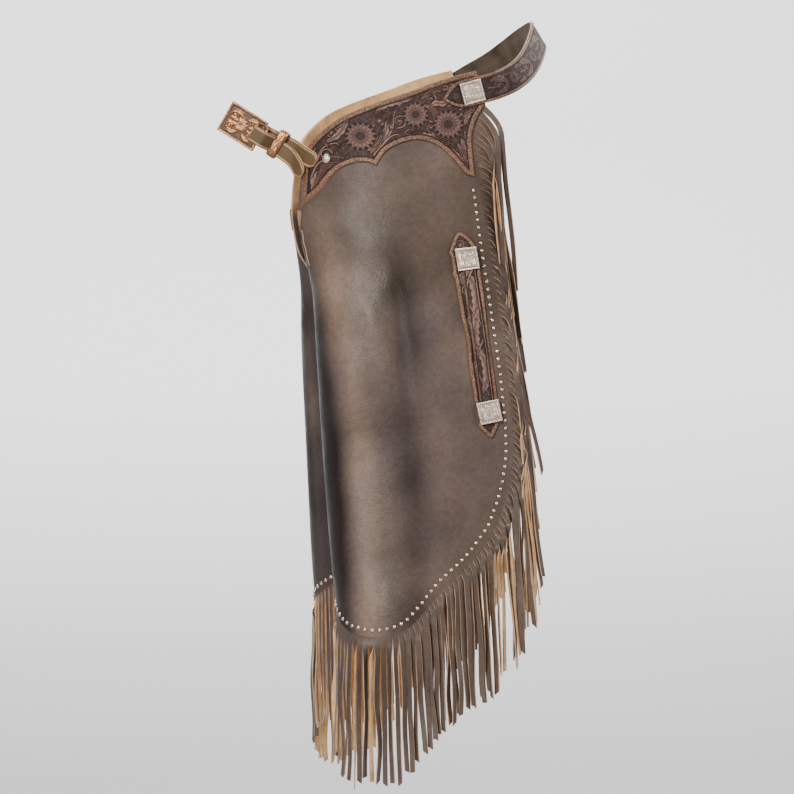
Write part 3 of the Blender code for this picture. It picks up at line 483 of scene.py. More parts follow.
INNER_CREASES = (
    # top_q, top_z, low_q, low_z, width, depth
    (-30, -215, -60, -380, 10, 1.3),
    (-60, -300, -85, -470, 12, 1.1),
    (-20, -330, -26, -545, 9, 1.2),
    (-95, -330, -105, -500, 11, 0.9),
)
TOP_EDGE = (
    # x, z
    (-123.5, -29),
    (-116, -16),
    (-103, -0.5),
    (-81, 17),
    (-51, 31),
    (-7, 46.5),
    (38, 63),
    (80, 74),
)
REAR_EDGE = (
    # x, z
    (80, 74),
    (88, 50),
    (90, 33),
    (81, 16),
    (75, -5),
    (76, -30),
    (81, -57),
    (86.5, -100),
    (92.5, -158),
    (99.5, -218),
    (107.5, -278),
    (114, -335),
    (117, -380),
    (115.5, -413),
    (106, -455),
    (92, -491),
)
HEM_EDGE = (
    # x, z
    (92, -491),
    (64, -527),
    (28, -560),
    (1, -592),
    (-17, -609),
    (-38, -617),
    (-60, -619),
    (-80, -614),
)
HEM_INSIDE = (
    # q, z
    (0, -593),
    (-40, -572),
    (-85, -548),
    (-128, -530),
)
INNER_EDGE = (
    # q, z
    (-128, -530),
    (-132, -440),
    (-128, -340),
    (-108, -265),
    (-68, -210),
    (-24, -165),
    (-4, -130),
    (0, -100),
    (0, -60),
    (0, -29),
)
YOKE_LOBES = (
    # x, z
    ((-126, -95), (-115, -83.5), (-103, -71)),
    ((-103, -71), (-99, -64), (-86, -48.5), (-67, -39.5), (-52, -39), (-42, -43)),
    ((-42, -43), (-31, -26), (-13.5, -15.5), (8, -11), (27, -15.5), (42, -25.5), (56.5, -40.5), (69, -54), (79, -57)),
)
PATCH_EDGES = (
    # z, left_x, right_x
    (-126, 56, 61),
    (-134, 51, 72),
    (-146, 46.5, 79),
    (-151, 45.2, 80),
    (-156, 47.6, 80.6),
    (-172, 49.3, 82.3),
    (-177, 48.2, 82.8),
    (-182, 51, 83.4),
    (-200, 53.2, 85.6),
    (-231, 57.8, 88.4),
    (-259, 64.6, 91),
    (-286, 65.8, 95),
    (-325, 72.2, 100.4),
    (-331, 72, 100.8),
    (-337, 75, 101.4),
    (-358, 78.6, 102.2),
    (-364, 77.4, 101.4),
    (-370, 83, 98.5),
    (-378, 91.6, 95),
)
SIDE_STRAP_LINE = (
    # z, x
    (-152, 66),
    (-200, 70.5),
    (-250, 77),
    (-300, 83.5),
    (-354, 90.5),
)
print(len(LEG_SECTIONS), "sections")


# %% Curves and sections
def smooth_rows(rows, count_each=8):
    """Points on a smooth curve through the rows of a table (a centripetal spline), with each row kept."""
    pts = np.array(rows, dtype=float)
    padded = np.vstack([2 * pts[0] - pts[1], pts, 2 * pts[-1] - pts[-2]])
    out = [pts[0]]
    for i in range(1, len(padded) - 2):
        p0, p1, p2, p3 = padded[i - 1 : i + 3]
        t0 = 0.0
        t1 = t0 + max(np.linalg.norm(p1 - p0), 1e-9) ** 0.5
        t2 = t1 + max(np.linalg.norm(p2 - p1), 1e-9) ** 0.5
        t3 = t2 + max(np.linalg.norm(p3 - p2), 1e-9) ** 0.5
        for k in range(1, count_each + 1):
            t = t1 + (t2 - t1) * k / count_each
            a1 = (t1 - t) / (t1 - t0) * p0 + (t - t0) / (t1 - t0) * p1
            a2 = (t2 - t) / (t2 - t1) * p1 + (t - t1) / (t2 - t1) * p2
            a3 = (t3 - t) / (t3 - t2) * p2 + (t - t2) / (t3 - t2) * p3
            b1 = (t2 - t) / (t2 - t0) * a1 + (t - t0) / (t2 - t0) * a2
            b2 = (t3 - t) / (t3 - t1) * a2 + (t - t1) / (t3 - t1) * a3
            out.append((t2 - t) / (t2 - t1) * b1 + (t - t1) / (t2 - t1) * b2)
    return np.array(out)


def lengths(curve):
    """The distance along a curve at each of its points."""
    return np.concatenate([[0.0], np.cumsum(np.linalg.norm(np.diff(curve, axis=0), axis=1))])


def along(curve, want):
    """The curve's points at the wanted distances."""
    length = lengths(curve)
    return np.column_stack([np.interp(want, length, curve[:, c]) for c in range(curve.shape[1])])


def even_points(curve, count):
    """The curve's points spaced evenly along its length."""
    return along(curve, np.linspace(0.0, lengths(curve)[-1], count))


def soft(value):
    """0 below 0, 1 above 1, and soft between."""
    t = np.clip(value, 0.0, 1.0)
    return t * t * (3.0 - 2.0 * t)


def unit(vectors):
    """Vectors at length 1."""
    vectors = np.asarray(vectors, dtype=float)
    return vectors / np.maximum(np.linalg.norm(vectors, axis=-1, keepdims=True), 1e-12)


SECTION_CURVE = smooth_rows(LEG_SECTIONS)
NODES_01, WEIGHTS = np.polynomial.legendre.leggauss(14)
NODES_01 = 0.5 * (NODES_01 + 1.0)
WEIGHTS = 0.5 * WEIGHTS


def furrow(across_at, z, rows):
    """How deep the troughs of a table are at a place, from their top and bottom points."""
    depth = 0.0
    for top_x, top_z, low_x, low_z, width, deep in rows:
        t = (z / MM - top_z) / (low_z - top_z)
        across = (across_at / MM - (top_x + (low_x - top_x) * t)) / width
        ends = soft(t * 4.0 + 0.5) * soft((1.0 - t) * 4.0 + 0.5)
        depth = depth + deep * MM * np.exp(-across * across) * ends
    return depth


def smooth_leg(q, z):
    """Points on the inside face of the left leg."""
    heights = SECTION_CURVE[::-1, 0]
    values = [np.interp(z / MM, heights, SECTION_CURVE[::-1, c]) for c in range(1, 7)]
    start, outer, inner, rear = values[2], values[3] * MM, values[4] * MM, values[5]
    steps = q[..., None] * NODES_01
    s, o, i, r = [v[..., None] for v in (start, outer, inner, rear)]
    outside = s + (90.0 - s) * np.sin(0.5 * math.pi * np.clip(steps / o, 0.0, 1.0)) + r * np.maximum(steps - o, 0.0)
    inside = s - (90.0 + s) * np.sin(0.5 * math.pi * np.clip(-steps / i, 0.0, 1.0))
    angle = np.radians(np.where(steps >= 0.0, outside, inside))
    x = values[0] * MM + q * np.sum(WEIGHTS * np.sin(angle), axis=-1)
    y = values[1] * MM - q * np.sum(WEIGHTS * np.cos(angle), axis=-1)
    y = y + furrow(x, z, LEG_TROUGHS) * soft(q / 0.08)
    return np.stack([x, y, z], axis=-1)


def smooth_normal(q, z):
    """The direction out of the leather there."""
    step = 1.5 * MM
    across = smooth_leg(q + step, z) - smooth_leg(q - step, z)
    down = smooth_leg(q, z - step) - smooth_leg(q, z + step)
    return unit(np.cross(down, across))


def leg_place(q, z, lift=0.0):
    """Points over the leg with its creases, at a lift from the inside face. Lift may be a number for each point."""
    q = np.asarray(q, dtype=float)
    z = np.asarray(z, dtype=float)
    points = smooth_leg(q, z)
    outside = furrow(points[..., 0], z, CREASES) * soft(q / 0.03)
    inside = furrow(q, z, INNER_CREASES) * soft(-q / 0.012)
    return points + smooth_normal(q, z) * (lift - outside - inside)[..., None]


def outer_q(x, z):
    """How far round from the front fold a place on the outer side is, given by its x and z."""
    x = np.asarray(x, dtype=float)
    z = np.asarray(z, dtype=float)
    low = np.zeros_like(x)
    high = np.full_like(x, 0.36)
    for _ in range(26):
        middle = 0.5 * (low + high)
        short = smooth_leg(middle, z)[..., 0] < x
        low = np.where(short, middle, low)
        high = np.where(short, high, middle)
    return 0.5 * (low + high)


def edge_q(rows, count_each=8):
    """A smooth outer-side edge given as x and z in millimetres, as q and z in metres."""
    curve = smooth_rows(rows, count_each) * MM
    return np.column_stack([outer_q(curve[:, 0], curve[:, 1]), curve[:, 1]])


def coons(top, bottom, left, right_edge):
    """A grid that fills four edges: top and bottom run left to right, left and right run top to bottom."""
    u = np.linspace(0.0, 1.0, len(top))[None, :, None]
    v = np.linspace(0.0, 1.0, len(left))[:, None, None]
    ruled = (1 - v) * top[None] + v * bottom[None] + (1 - u) * left[:, None] + u * right_edge[:, None]
    corners = (1 - u) * (1 - v) * top[0] + u * (1 - v) * top[-1] + (1 - u) * v * bottom[0] + u * v * bottom[-1]
    return ruled - corners


print("leg reaches", np.round(smooth_leg(np.array([0.0, 0.2]), np.array([-0.3, -0.3])), 3).tolist())


# %% Meshes from grids
def make_mesh(name, points, faces, materials, picks=None, stored=None):
    """An object from points, faces, a material for each face and numbers stored on the points."""
    mesh = bpy.data.meshes.new(name)
    mesh.from_pydata(np.asarray(points).tolist(), [], faces)
    for finish in materials:
        mesh.materials.append(finish)
    if picks is not None:
        mesh.polygons.foreach_set("material_index", np.asarray(picks, dtype=np.int32))
    for key, values in (stored or {}).items():
        layer = mesh.attributes.new(key, "FLOAT", "POINT")
        layer.data.foreach_set("value", np.asarray(values, dtype=np.float32))
    mesh.shade_smooth()
    mesh.set_sharp_from_angle(angle=math.radians(50))
    mesh.update()
    thing = bpy.data.objects.new(name, mesh)
    bpy.context.scene.collection.objects.link(thing)
    return thing


def flip(points, side):
    """Points of the left side as they are, or mirrored to the right side."""
    return points if side < 0 else points * np.array([1.0, -1.0, 1.0])


def shell(name, low, high, materials, side=-1, stored=None):
    """A closed thin shell between an inside and an outside grid. Materials: outside, inside, cut edge."""
    rows, cols = low.shape[:2]
    count = rows * cols
    points = flip(np.concatenate([low.reshape(-1, 3), high.reshape(-1, 3)]), side)
    at = np.arange(count).reshape(rows, cols)
    inner = np.stack([at[:-1, :-1], at[:-1, 1:], at[1:, 1:], at[1:, :-1]], axis=-1).reshape(-1, 4)
    outer = inner[:, ::-1] + count
    rim = np.concatenate([at[0, :], at[1:, -1], at[-1, -2::-1], at[-2:0:-1, 0]])
    after = np.roll(rim, -1)
    band = np.stack([after, rim, rim + count, after + count], axis=-1)
    faces = np.vstack([outer, inner, band])
    a, b, c, d = [points[faces[:, k]] for k in range(4)]
    if np.sum(a * np.cross(b, c)) + np.sum(a * np.cross(c, d)) < 0.0:
        faces = faces[:, ::-1]
    picks = [0] * len(outer) + [1] * len(inner) + [2] * len(band)
    doubled = {key: np.concatenate([np.zeros(count), np.ravel(values)]) for key, values in (stored or {}).items()}
    return make_mesh(name, points, faces.tolist(), materials, picks, doubled)


def finish_piece(thing, slot, *nodes):
    """Hangs a piece on the body and hides the nodes it stands for. The slot is not used."""
    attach(thing, "root")
    if nodes:
        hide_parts(*nodes)
    return thing


print("mesh helpers ready")

# %% [markdown]
# ## Tooling
# Western floral carving is drawn from three strokes: a sunflower, an acanthus leaf and a scrolling stem. Each gives
# a height from 0 to 1 over flat millimetre places, and the highest one wins.


# %% Carving strokes
def spine(points, count=26):
    """A smooth line through a few points."""
    return even_points(smooth_rows(points, 10), count)


def nearest(places, line):
    """Distance to a line, how far along it (0 to 1) and the side, for each place."""
    best = np.full(len(places), 1e9)
    at = np.zeros(len(places))
    side = np.zeros(len(places))
    total = lengths(line)
    for k in range(len(line) - 1):
        a, b = line[k], line[k + 1]
        way = b - a
        size = np.dot(way, way)
        t = np.clip(((places - a) @ way) / max(size, 1e-9), 0.0, 1.0)
        gap = places - (a + t[:, None] * way)
        far = np.hypot(gap[:, 0], gap[:, 1])
        closer = far < best
        best = np.where(closer, far, best)
        at = np.where(closer, (total[k] + t * math.sqrt(size)) / total[-1], at)
        side = np.where(closer, np.sign(way[0] * gap[:, 1] - way[1] * gap[:, 0]), side)
    return best, at, side


class Carving:
    """A field of tooled strokes over places given in millimetres."""

    def __init__(self, places):
        self.places = np.asarray(places, dtype=float).reshape(-1, 2)
        self.height = np.zeros(len(self.places))

    def matt_ground(self):
        """Stamps the whole ground with a low, swirled matting."""
        x, z = self.places[:, 0], self.places[:, 1]
        swirl = np.sin(0.9 * x + 2.2 * np.sin(0.31 * z)) * np.sin(0.9 * z + 2.2 * np.sin(0.27 * x))
        self.height = 0.16 + 0.2 * np.clip(swirl + 0.3, 0.0, 1.0)

    def raise_to(self, where, height):
        self.height[where] = np.maximum(self.height[where], height)

    def cut(self, where, depth):
        self.height[where] = np.maximum(self.height[where] - depth, 0.0)

    def near(self, line, reach):
        low, high = line.min(axis=0) - reach, line.max(axis=0) + reach
        return np.where(np.all((self.places > low) & (self.places < high), axis=1))[0]

    def flower(self, x, z, radius, petals=12, turned=0.0, squash=1.0):
        """A sunflower: two rings of pointed petals round a domed, hatched eye."""
        here = self.near(np.array([[x, z]]), radius * 1.15)
        dx, dz = self.places[here, 0] - x, (self.places[here, 1] - z) / squash
        far, angle = np.hypot(dx, dz), np.arctan2(dz, dx) + turned
        self.height[here[far < radius * 0.95]] *= 0.25
        for size, shift, level in ((1.0, 0.5, 0.7), (0.8, 0.0, 0.95)):
            turns = angle * petals / (2.0 * math.pi) + shift
            aside = np.abs((turns % 1.0) - 0.5) * 2.0
            edge = radius * size * (1.0 - 0.5 * aside**1.25)
            inside = np.clip((edge - far) / 0.6, 0.0, 1.0)
            shape = level * (0.45 + 0.55 * np.sqrt(np.clip(1.0 - aside**2, 0.0, 1.0)))
            shape -= 0.3 * np.exp(-((aside / 0.13) ** 2)) + 0.16 * np.exp(-(((aside - 0.5) / 0.1) ** 2))
            shape *= 0.35 + 0.65 * np.clip((far / radius - 0.3) / 0.5, 0.0, 1.0)
            self.raise_to(here, inside * shape)
        eye = far < radius * 0.3
        dome = 0.16 + 0.22 * np.sin(dx * 3.0 + dz * 1.2) * np.sin(dz * 3.0 - dx * 1.2)
        self.height[here[eye]] = dome[eye]
        ring = np.exp(-(((far - radius * 0.33) / 0.6) ** 2))
        self.raise_to(here, 0.62 * ring)

    def plume(self, points, width, veins=4):
        """A swept acanthus plume: fine stems side by side that part from one root and curl to one tip."""
        line = spine(points, 16)
        across = unit(np.gradient(line, axis=0))[:, ::-1] * (1.0, -1.0)
        swell = np.sin(math.pi * np.linspace(0.04, 0.96, 16)) ** 0.8
        for share in np.linspace(-1.0, 1.0, veins):
            strip = line + across * (0.5 * width * share * swell)[:, None]
            self.stem(strip[:: 3 if abs(share) < 1 else 2], 0.42 * width / veins)

    def leaf(self, points, width, lobes=5):
        """An acanthus leaf: a lobed blade with a sunk midrib and slanting veins."""
        line = spine(points)
        here = self.near(line, width * 1.2)
        far, at, _ = nearest(self.places[here], line)
        lobe = 0.7 + 0.3 * np.abs(np.sin(math.pi * (lobes * at + 0.25)))
        edge = width * np.sin(math.pi * np.clip(0.06 + 0.9 * at, 0.0, 1.0)) ** 0.7 * lobe
        share = far / np.maximum(edge, 0.3)
        inside = np.clip((edge - far) / 0.7, 0.0, 1.0)
        shape = 0.62 + 0.34 * share - 0.38 * np.exp(-((far / 0.45) ** 2))
        shape -= 0.2 * np.clip(np.sin(2.0 * math.pi * (lobes * at - 0.9 * share)), 0.0, 1.0) * np.clip(share * 2, 0, 1)
        halo = (far > edge) & (far < edge + 0.9)
        self.cut(here[halo], 0.45)
        self.raise_to(here, inside * shape)

    def stem(self, points, width):
        """A rounded stem that thins to its end."""
        line = spine(points, 34)
        here = self.near(line, width * 2.0)
        far, at, _ = nearest(self.places[here], line)
        edge = width * (1.0 - 0.55 * at)
        halo = (far > edge) & (far < edge + 0.8)
        self.cut(here[halo], 0.4)
        self.raise_to(here, np.clip(1.0 - (far / edge) ** 2, 0.0, 1.0) ** 0.5 * 0.86)

    def scroll(self, x, z, radius, turns=1.4, start=0.0, hand=1.0, width=1.1):
        """A stem rolled into a spiral, with a bead at its eye."""
        t = np.linspace(0.0, 1.0, 30)
        angle = math.radians(start) + hand * t * turns * 2.0 * math.pi
        size = radius * (1.0 - 0.82 * t)
        self.stem(np.column_stack([x + size * np.cos(angle), z + size * np.sin(angle)])[::3], width)
        self.bead(x, z, radius * 0.2)

    def bead(self, x, z, radius):
        """A small round bead."""
        here = self.near(np.array([[x, z]]), radius * 1.3)
        far = np.hypot(self.places[here, 0] - x, self.places[here, 1] - z)
        self.raise_to(here, 0.9 * np.sqrt(np.clip(1.0 - (far / radius) ** 2, 0.0, 1.0)))


def bordered(places, outline, carved, band, open_ends=False):
    """Adds a stamped border inside an outline to a carved height. Gives the height and the border's share."""
    far, _, _ = nearest(np.asarray(places).reshape(-1, 2), outline)
    border = np.clip((band - far) / 0.8, 0.0, 1.0)
    groove = np.exp(-(((far - band - 0.9) / 0.75) ** 2))
    crown = 0.62 + 0.2 * np.sqrt(np.clip(1.0 - ((far - 0.5 * band) / (0.5 * band)) ** 2, 0.0, 1.0))
    height = carved * (1.0 - border) * (1.0 - 0.95 * groove) + crown * border
    height = np.where(far < 0.7, height * far / 0.7, height)
    return height, border * (1.0 - 0.8 * np.exp(-((far / 0.7) ** 2)))


print("carving strokes ready")

# %% [markdown]
# ## Legs
# Each leg runs on a few millimetres past the stud line, to where the cuts of the fringe begin.

# %% Leg edges
FRINGE_STRIP = 3.0 * MM
LEG_COLS, LEG_ROWS = 150, 190


def leg_outline():
    """Top, hem, inner and rear edge as q and z, and the rear and hem as one line with its way out."""
    top = edge_q(TOP_EDGE)
    rear = edge_q(REAR_EDGE)
    hem_inside = smooth_rows(HEM_INSIDE) * MM
    hem_outside = edge_q(HEM_EDGE)
    halfway = 0.5 * (hem_outside[-1] + hem_inside[0]) + (0.0, -0.0015)
    join = smooth_rows(np.array([hem_outside[-1], halfway, hem_inside[0]]), 4)
    hem = np.vstack([hem_outside[:-1], join[:-1], hem_inside])
    whole = np.vstack([rear, hem[1:]])
    way = np.gradient(whole, axis=0)
    for _ in range(3):
        way[1:-1] = 0.25 * way[:-2] + 0.5 * way[1:-1] + 0.25 * way[2:]
    out = unit(np.column_stack([-way[:, 1], way[:, 0]]))
    amount = FRINGE_STRIP * soft((0.04 - whole[:, 1]) / 0.012) * soft((whole[:, 0] + 0.128) / 0.02)
    pushed = whole + out * amount[:, None]
    inner = smooth_rows(INNER_EDGE) * MM
    return top, pushed[len(rear) - 1 :], inner, pushed[: len(rear)], whole, out, amount


TOP, HEM, INNER, REAR, CUT_LINE, CUT_OUT, CUT_AMOUNT = leg_outline()
leg_grid = coons(
    even_points(TOP, LEG_COLS),
    even_points(HEM[::-1], LEG_COLS),
    even_points(INNER[::-1], LEG_ROWS),
    even_points(REAR, LEG_ROWS),
)
print("leg grid", leg_grid.shape)


leg_low = leg_place(leg_grid[..., 0], leg_grid[..., 1], np.zeros(leg_grid.shape[:2]))
leg_high = leg_place(leg_grid[..., 0], leg_grid[..., 1], np.full(leg_grid.shape[:2], LEG_THICK))
HIGHLIGHT_RIDGE = (
    # z, x of the ridge that gets the painted highlight
    (-640, -62),
    (-540, -64),
    (-437, -70),
    (-374, -72),
    (-301, -84),
    (-230, -94),
    (-134, -110),
    (-60, -118),
)


def painted_light_on_leg(points, q):
    """How much painted highlight (to 1) or painted shade (to -1) lies over the leg: lighter along the lit ridge, darker
    on the front fold and the inner side, with some uneven tone.
    """
    x, z = points[..., 0] / MM, points[..., 2] / MM
    ridge = np.interp(z, [row[0] for row in HIGHLIGHT_RIDGE], [row[1] for row in HIGHLIGHT_RIDGE])
    waves = 0.12 * np.sin(z / 31.0 + x / 17.0) + 0.08 * np.sin(z / 13.0 - x / 29.0)
    low = soft((-90.0 - z) / 90.0)
    # Painted highlight along the ridge and a fainter one further back; painted shade in front of the ridge, in a band
    # behind it and over the inner side.
    painted_light = 0.95 * np.exp(-(((x - ridge - 3.0) / 15.0) ** 2)) * low
    painted_light -= 1.1 * soft((ridge - 8.0 - x) / 20.0) * low
    painted_light -= 0.5 * np.exp(-(((x + 22.0 + 0.04 * z) / 24.0) ** 2)) * soft((-60.0 - z) / 120.0)
    painted_light += 0.25 * np.exp(-(((x - 28.0) / 26.0) ** 2))
    painted_light = np.where(q < 0.0, -0.45 - 0.5 * soft((q + 0.03) / 0.03) * low, painted_light)
    return np.clip(painted_light + waves, -1.0, 1.0)


leg_painted_light = {"painted_light": painted_light_on_leg(leg_high, leg_grid[..., 0])}
legs = {}
for label, side in SIDES:
    legs[label] = shell(f"leg_leather_{label}", leg_low, leg_high, (LEATHER, LEG_INSIDE, CUT_EDGE), side, leg_painted_light)
    finish_piece(legs[label], "oiled_leather", f"leg_{label}")

# %% [markdown]
# ## Yokes
# Tooled leather over each hip, with three sunflowers between leaves and scrolls inside a stamped border.

# %% Yoke
YOKE_COLS, YOKE_ROWS = 260, 110
YOKE_BAND = 5.6
RELIEF_DEPTH = 1.1 * MM

lower = np.vstack([edge_q(lobe)[:-1] for lobe in YOKE_LOBES] + [edge_q(YOKE_LOBES[-1])[-1:]])
rear_rows = [row for row in REAR_EDGE if row[1] > -57] + [(79, -57)]
yoke_top = even_points(TOP, YOKE_COLS)
yoke_low = even_points(lower, YOKE_COLS)
yoke_front = even_points(np.array([yoke_top[0], yoke_low[0]]), YOKE_ROWS)
yoke_rear = even_points(edge_q(rear_rows), YOKE_ROWS)
yoke_grid = coons(yoke_top, yoke_low, yoke_front, yoke_rear)
yoke_flat = smooth_leg(yoke_grid[..., 0], yoke_grid[..., 1])[..., [0, 2]] / MM
yoke_outline = np.vstack([yoke_flat[0, ::3], yoke_flat[::3, -1], yoke_flat[-1, ::-3], yoke_flat[::-3, 0]])

carving = Carving(yoke_flat)
carving.matt_ground()
carving.stem([(-110, -40), (-102, -22), (-88, -16), (-78, -24)], 1.5)
carving.stem([(-116, -62), (-108, -42), (-92, -33), (-80, -34)], 1.4)
carving.scroll(-93, -3, 9.5, 1.5, 200, -1, 1.2)
carving.scroll(-99, -30, 7.5, 1.3, 20, 1, 1.1)
carving.leaf([(-114, -78), (-111, -62), (-104, -48)], 5.0, 3)
carving.leaf([(-98, -14), (-88, -8), (-80, 2), (-74, 14)], 4.5, 4)
carving.leaf([(-86, 4), (-74, 17), (-58, 25), (-44, 27)], 4.8, 5)
carving.leaf([(-48, -27), (-38, -16), (-30, 0), (-28, 16)], 4.8, 5)
carving.leaf([(-42, 22), (-30, 32), (-14, 36), (2, 40)], 4.6, 5)
carving.stem([(-44, -30), (-30, -12), (-22, 4), (-20, 22), (-12, 34)], 1.7)
carving.stem([(-36, -20), (-22, -6), (-12, -4), (-2, 2)], 1.5)
carving.scroll(-14, 12, 9.0, 1.5, 260, 1, 1.2)
carving.scroll(24, 4, 8.0, 1.4, 100, -1, 1.1)
carving.scroll(24, 40, 7.0, 1.3, 300, 1, 1.0)
carving.leaf([(4, -2), (14, -5), (26, -8), (36, -16)], 4.2, 4)
carving.leaf([(16, 44), (28, 50), (44, 54), (56, 58)], 4.4, 5)
carving.leaf([(20, 28), (30, 34), (42, 34), (50, 42)], 4.2, 4)
carving.leaf([(62, -10), (66, -24), (70, -38), (74, -48)], 4.4, 4)
carving.leaf([(50, -22), (58, -32), (64, -40), (70, -48)], 3.4, 4)
carving.leaf([(66, 8), (70, 20), (78, 30), (86, 36)], 4.4, 4)
carving.stem([(60, 26), (68, 34), (76, 44), (80, 56)], 1.3)
carving.stem([(66, -2), (72, -10), (72, -24), (74, -36)], 1.3)
for points, width in (
    ([(-108, -56), (-98, -44), (-84, -42), (-74, -30)], 6.5),
    ([(-112, -30), (-112, -14), (-102, 4), (-90, 8)], 5.0),
    ([(-84, 14), (-76, 24), (-62, 30), (-50, 31)], 5.5),
    ([(-52, -24), (-44, -20), (-36, -8), (-34, 4)], 6.5),
    ([(-46, 4), (-42, 14), (-36, 22), (-28, 24)], 6.0),
    ([(-34, 33), (-22, 39), (-6, 43), (8, 46)], 5.0),
    ([(-30, -24), (-20, -16), (-12, -8), (-10, 2)], 6.0),
    ([(-16, -8), (-6, -6), (4, -4), (14, -2)], 5.5),
    ([(-24, 2), (-26, 14), (-22, 26), (-12, 28)], 5.5),
    ([(12, 40), (22, 46), (36, 52), (48, 56)], 5.5),
    ([(16, 32), (24, 28), (30, 20), (28, 8)], 6.0),
    ([(26, -2), (34, -10), (44, -14), (54, -18)], 6.5),
    ([(58, -16), (64, -26), (68, -38), (72, -50)], 7.0),
    ([(66, -4), (70, -16), (73, -30), (75, -44)], 5.0),
    ([(64, 18), (72, 24), (80, 32), (86, 42)], 6.0),
    ([(44, 30), (52, 36), (60, 44), (66, 54)], 6.5),
    ([(-100, -16), (-92, -22), (-84, -20), (-78, -14)], 5.0),
    ([(-110, -72), (-106, -60), (-100, -52), (-92, -48)], 4.5),
):
    carving.plume(points, width)
for x, z, radius in ((-38, 12, 2.2), (-34, 8, 1.8), (-2, -8, 2.0), (34, 20, 2.0), (30, 16, 1.8), (62, 20, 1.8), (-70, -34, 2.0)):
    carving.bead(x, z, radius)
carving.flower(-60, -7, 19.5, 16, 0.2, 0.95)
carving.flower(5.5, 20, 16.5, 15, 0.5)
carving.flower(45.5, 8, 20.0, 17, 0.1, 0.95)
height, border = bordered(yoke_flat, yoke_outline, carving.height, YOKE_BAND)
height = height.reshape(yoke_flat.shape[:2])
yoke_in = leg_place(yoke_grid[..., 0], yoke_grid[..., 1], np.full(height.shape, YOKE_LIFT))
yoke_out = leg_place(yoke_grid[..., 0], yoke_grid[..., 1], YOKE_LIFT + YOKE_THICK - RELIEF_DEPTH * (0.75 - height))
yoke_stored = {"relief": height, "border": border}
yokes = {}
for label, side in SIDES:
    yokes[label] = shell(f"yoke_leather_{label}", yoke_in, yoke_out, (TOOLED, FLESH, CUT_EDGE), side, yoke_stored)
    finish_piece(yokes[label], "tooled_leather", f"yoke_{label}")
print("yoke relief from", round(float(height.min()), 2), "to", round(float(height.max()), 2))


# %% [markdown]
# ## Side patches
# A long tooled patch near the rear edge of each thigh, with a strap of long leaves between two square plates.


# %% Side patch
def patch_grid(rows, cols):
    """The patch's places, finer than its table."""
    table = np.array(PATCH_EDGES, dtype=float)
    heights = np.linspace(table[0, 0], table[-1, 0], rows)
    left = np.interp(-heights, -table[:, 0], table[:, 1])
    right_edge = np.interp(-heights, -table[:, 0], table[:, 2])
    across = np.linspace(0.0, 1.0, cols)[None, :]
    x = left[:, None] * (1.0 - across) + right_edge[:, None] * across
    z = np.repeat(heights[:, None], cols, axis=1)
    return x, z


patch_x, patch_z = patch_grid(230, 40)
patch_flat = np.stack([patch_x, patch_z], axis=-1)
patch_outline = np.vstack([patch_flat[0], patch_flat[::3, -1], patch_flat[-1, ::-1], patch_flat[::-3, 0]])
carving = Carving(patch_flat)
carving.matt_ground()
for k in range(9):
    z = -142 - 27 * k
    x = np.interp(-z, [-row[0] for row in PATCH_EDGES], [0.5 * (row[1] + row[2]) for row in PATCH_EDGES])
    hand = 1 if k % 2 else -1
    carving.scroll(x + 3 * hand, z, 7.5, 1.4, 90 * hand, hand, 1.1)
    carving.leaf([(x - 4 * hand, z - 6), (x - 7 * hand, z - 14), (x - 2 * hand, z - 22)], 4.0, 4)
height, border = bordered(patch_flat, patch_outline, carving.height, 4.4)
height = height.reshape(patch_x.shape)
patch_q = outer_q(patch_x * MM, patch_z * MM)
patch_in = leg_place(patch_q, patch_z * MM, np.full(height.shape, PATCH_LIFT))
patch_out = leg_place(patch_q, patch_z * MM, PATCH_LIFT + PATCH_THICK - 0.9 * MM * (0.75 - height))
patches = {}
for label, side in SIDES:
    patches[label] = shell(
        f"side_patch_leather_{label}", patch_in, patch_out, (TOOLED, FLESH, CUT_EDGE), side, {"relief": height, "border": border}
    )
    finish_piece(patches[label], "tooled_leather", f"side_patch_{label}")

# %% Side strap
STRAP_ROWS, STRAP_COLS = 190, 20
strap_line = even_points(smooth_rows(SIDE_STRAP_LINE), STRAP_ROWS)
across = np.linspace(-0.5, 0.5, STRAP_COLS)
strap_x = strap_line[:, 1:2] + across[None, :] * SIDE_STRAP_WIDTH / MM
strap_z = np.repeat(strap_line[:, :1], STRAP_COLS, axis=1)
strap_length = lengths(strap_line)
strap_flat = np.stack([np.repeat(across[None, :] * 17.0, STRAP_ROWS, axis=0), np.repeat(strap_length[:, None], STRAP_COLS, axis=1)], axis=-1)
strap_outline = np.array([(-8.5, y) for y in range(0, 208, 4)] + [(8.5, y) for y in range(204, -4, -4)], dtype=float)
carving = Carving(strap_flat)
carving.matt_ground()
carving.leaf([(-3, 22), (4, 44), (3, 66), (-4, 84)], 6.5, 7)
carving.leaf([(5, 70), (-3, 92), (-4, 112), (4, 128)], 6.2, 7)
carving.leaf([(-4, 116), (4, 136), (3, 156), (-3, 172)], 6.0, 6)
carving.stem([(6, 18), (-5, 40), (-6, 62), (5, 88), (6, 104), (-5, 126), (-5, 150), (4, 176)], 1.3)
for y in (30, 78, 98, 122, 160):
    carving.scroll(-4 if y % 4 else 4, y, 3.6, 1.2, 40, 1, 0.8)
height, border = bordered(strap_flat, strap_outline, carving.height, 1.8)
height = height.reshape(strap_x.shape)
share = (np.arange(STRAP_ROWS) / (STRAP_ROWS - 1) - 0.13) / 0.74
arch = 2.5 * MM * np.sin(math.pi * np.clip(share, 0.0, 1.0))[:, None]
crown = 0.7 * MM * (1.0 - (2.0 * across[None, :]) ** 2)
strap_q = outer_q(strap_x * MM, strap_z * MM)
strap_in = leg_place(strap_q, strap_z * MM, SIDE_STRAP_LIFT + arch + 0.0 * crown)
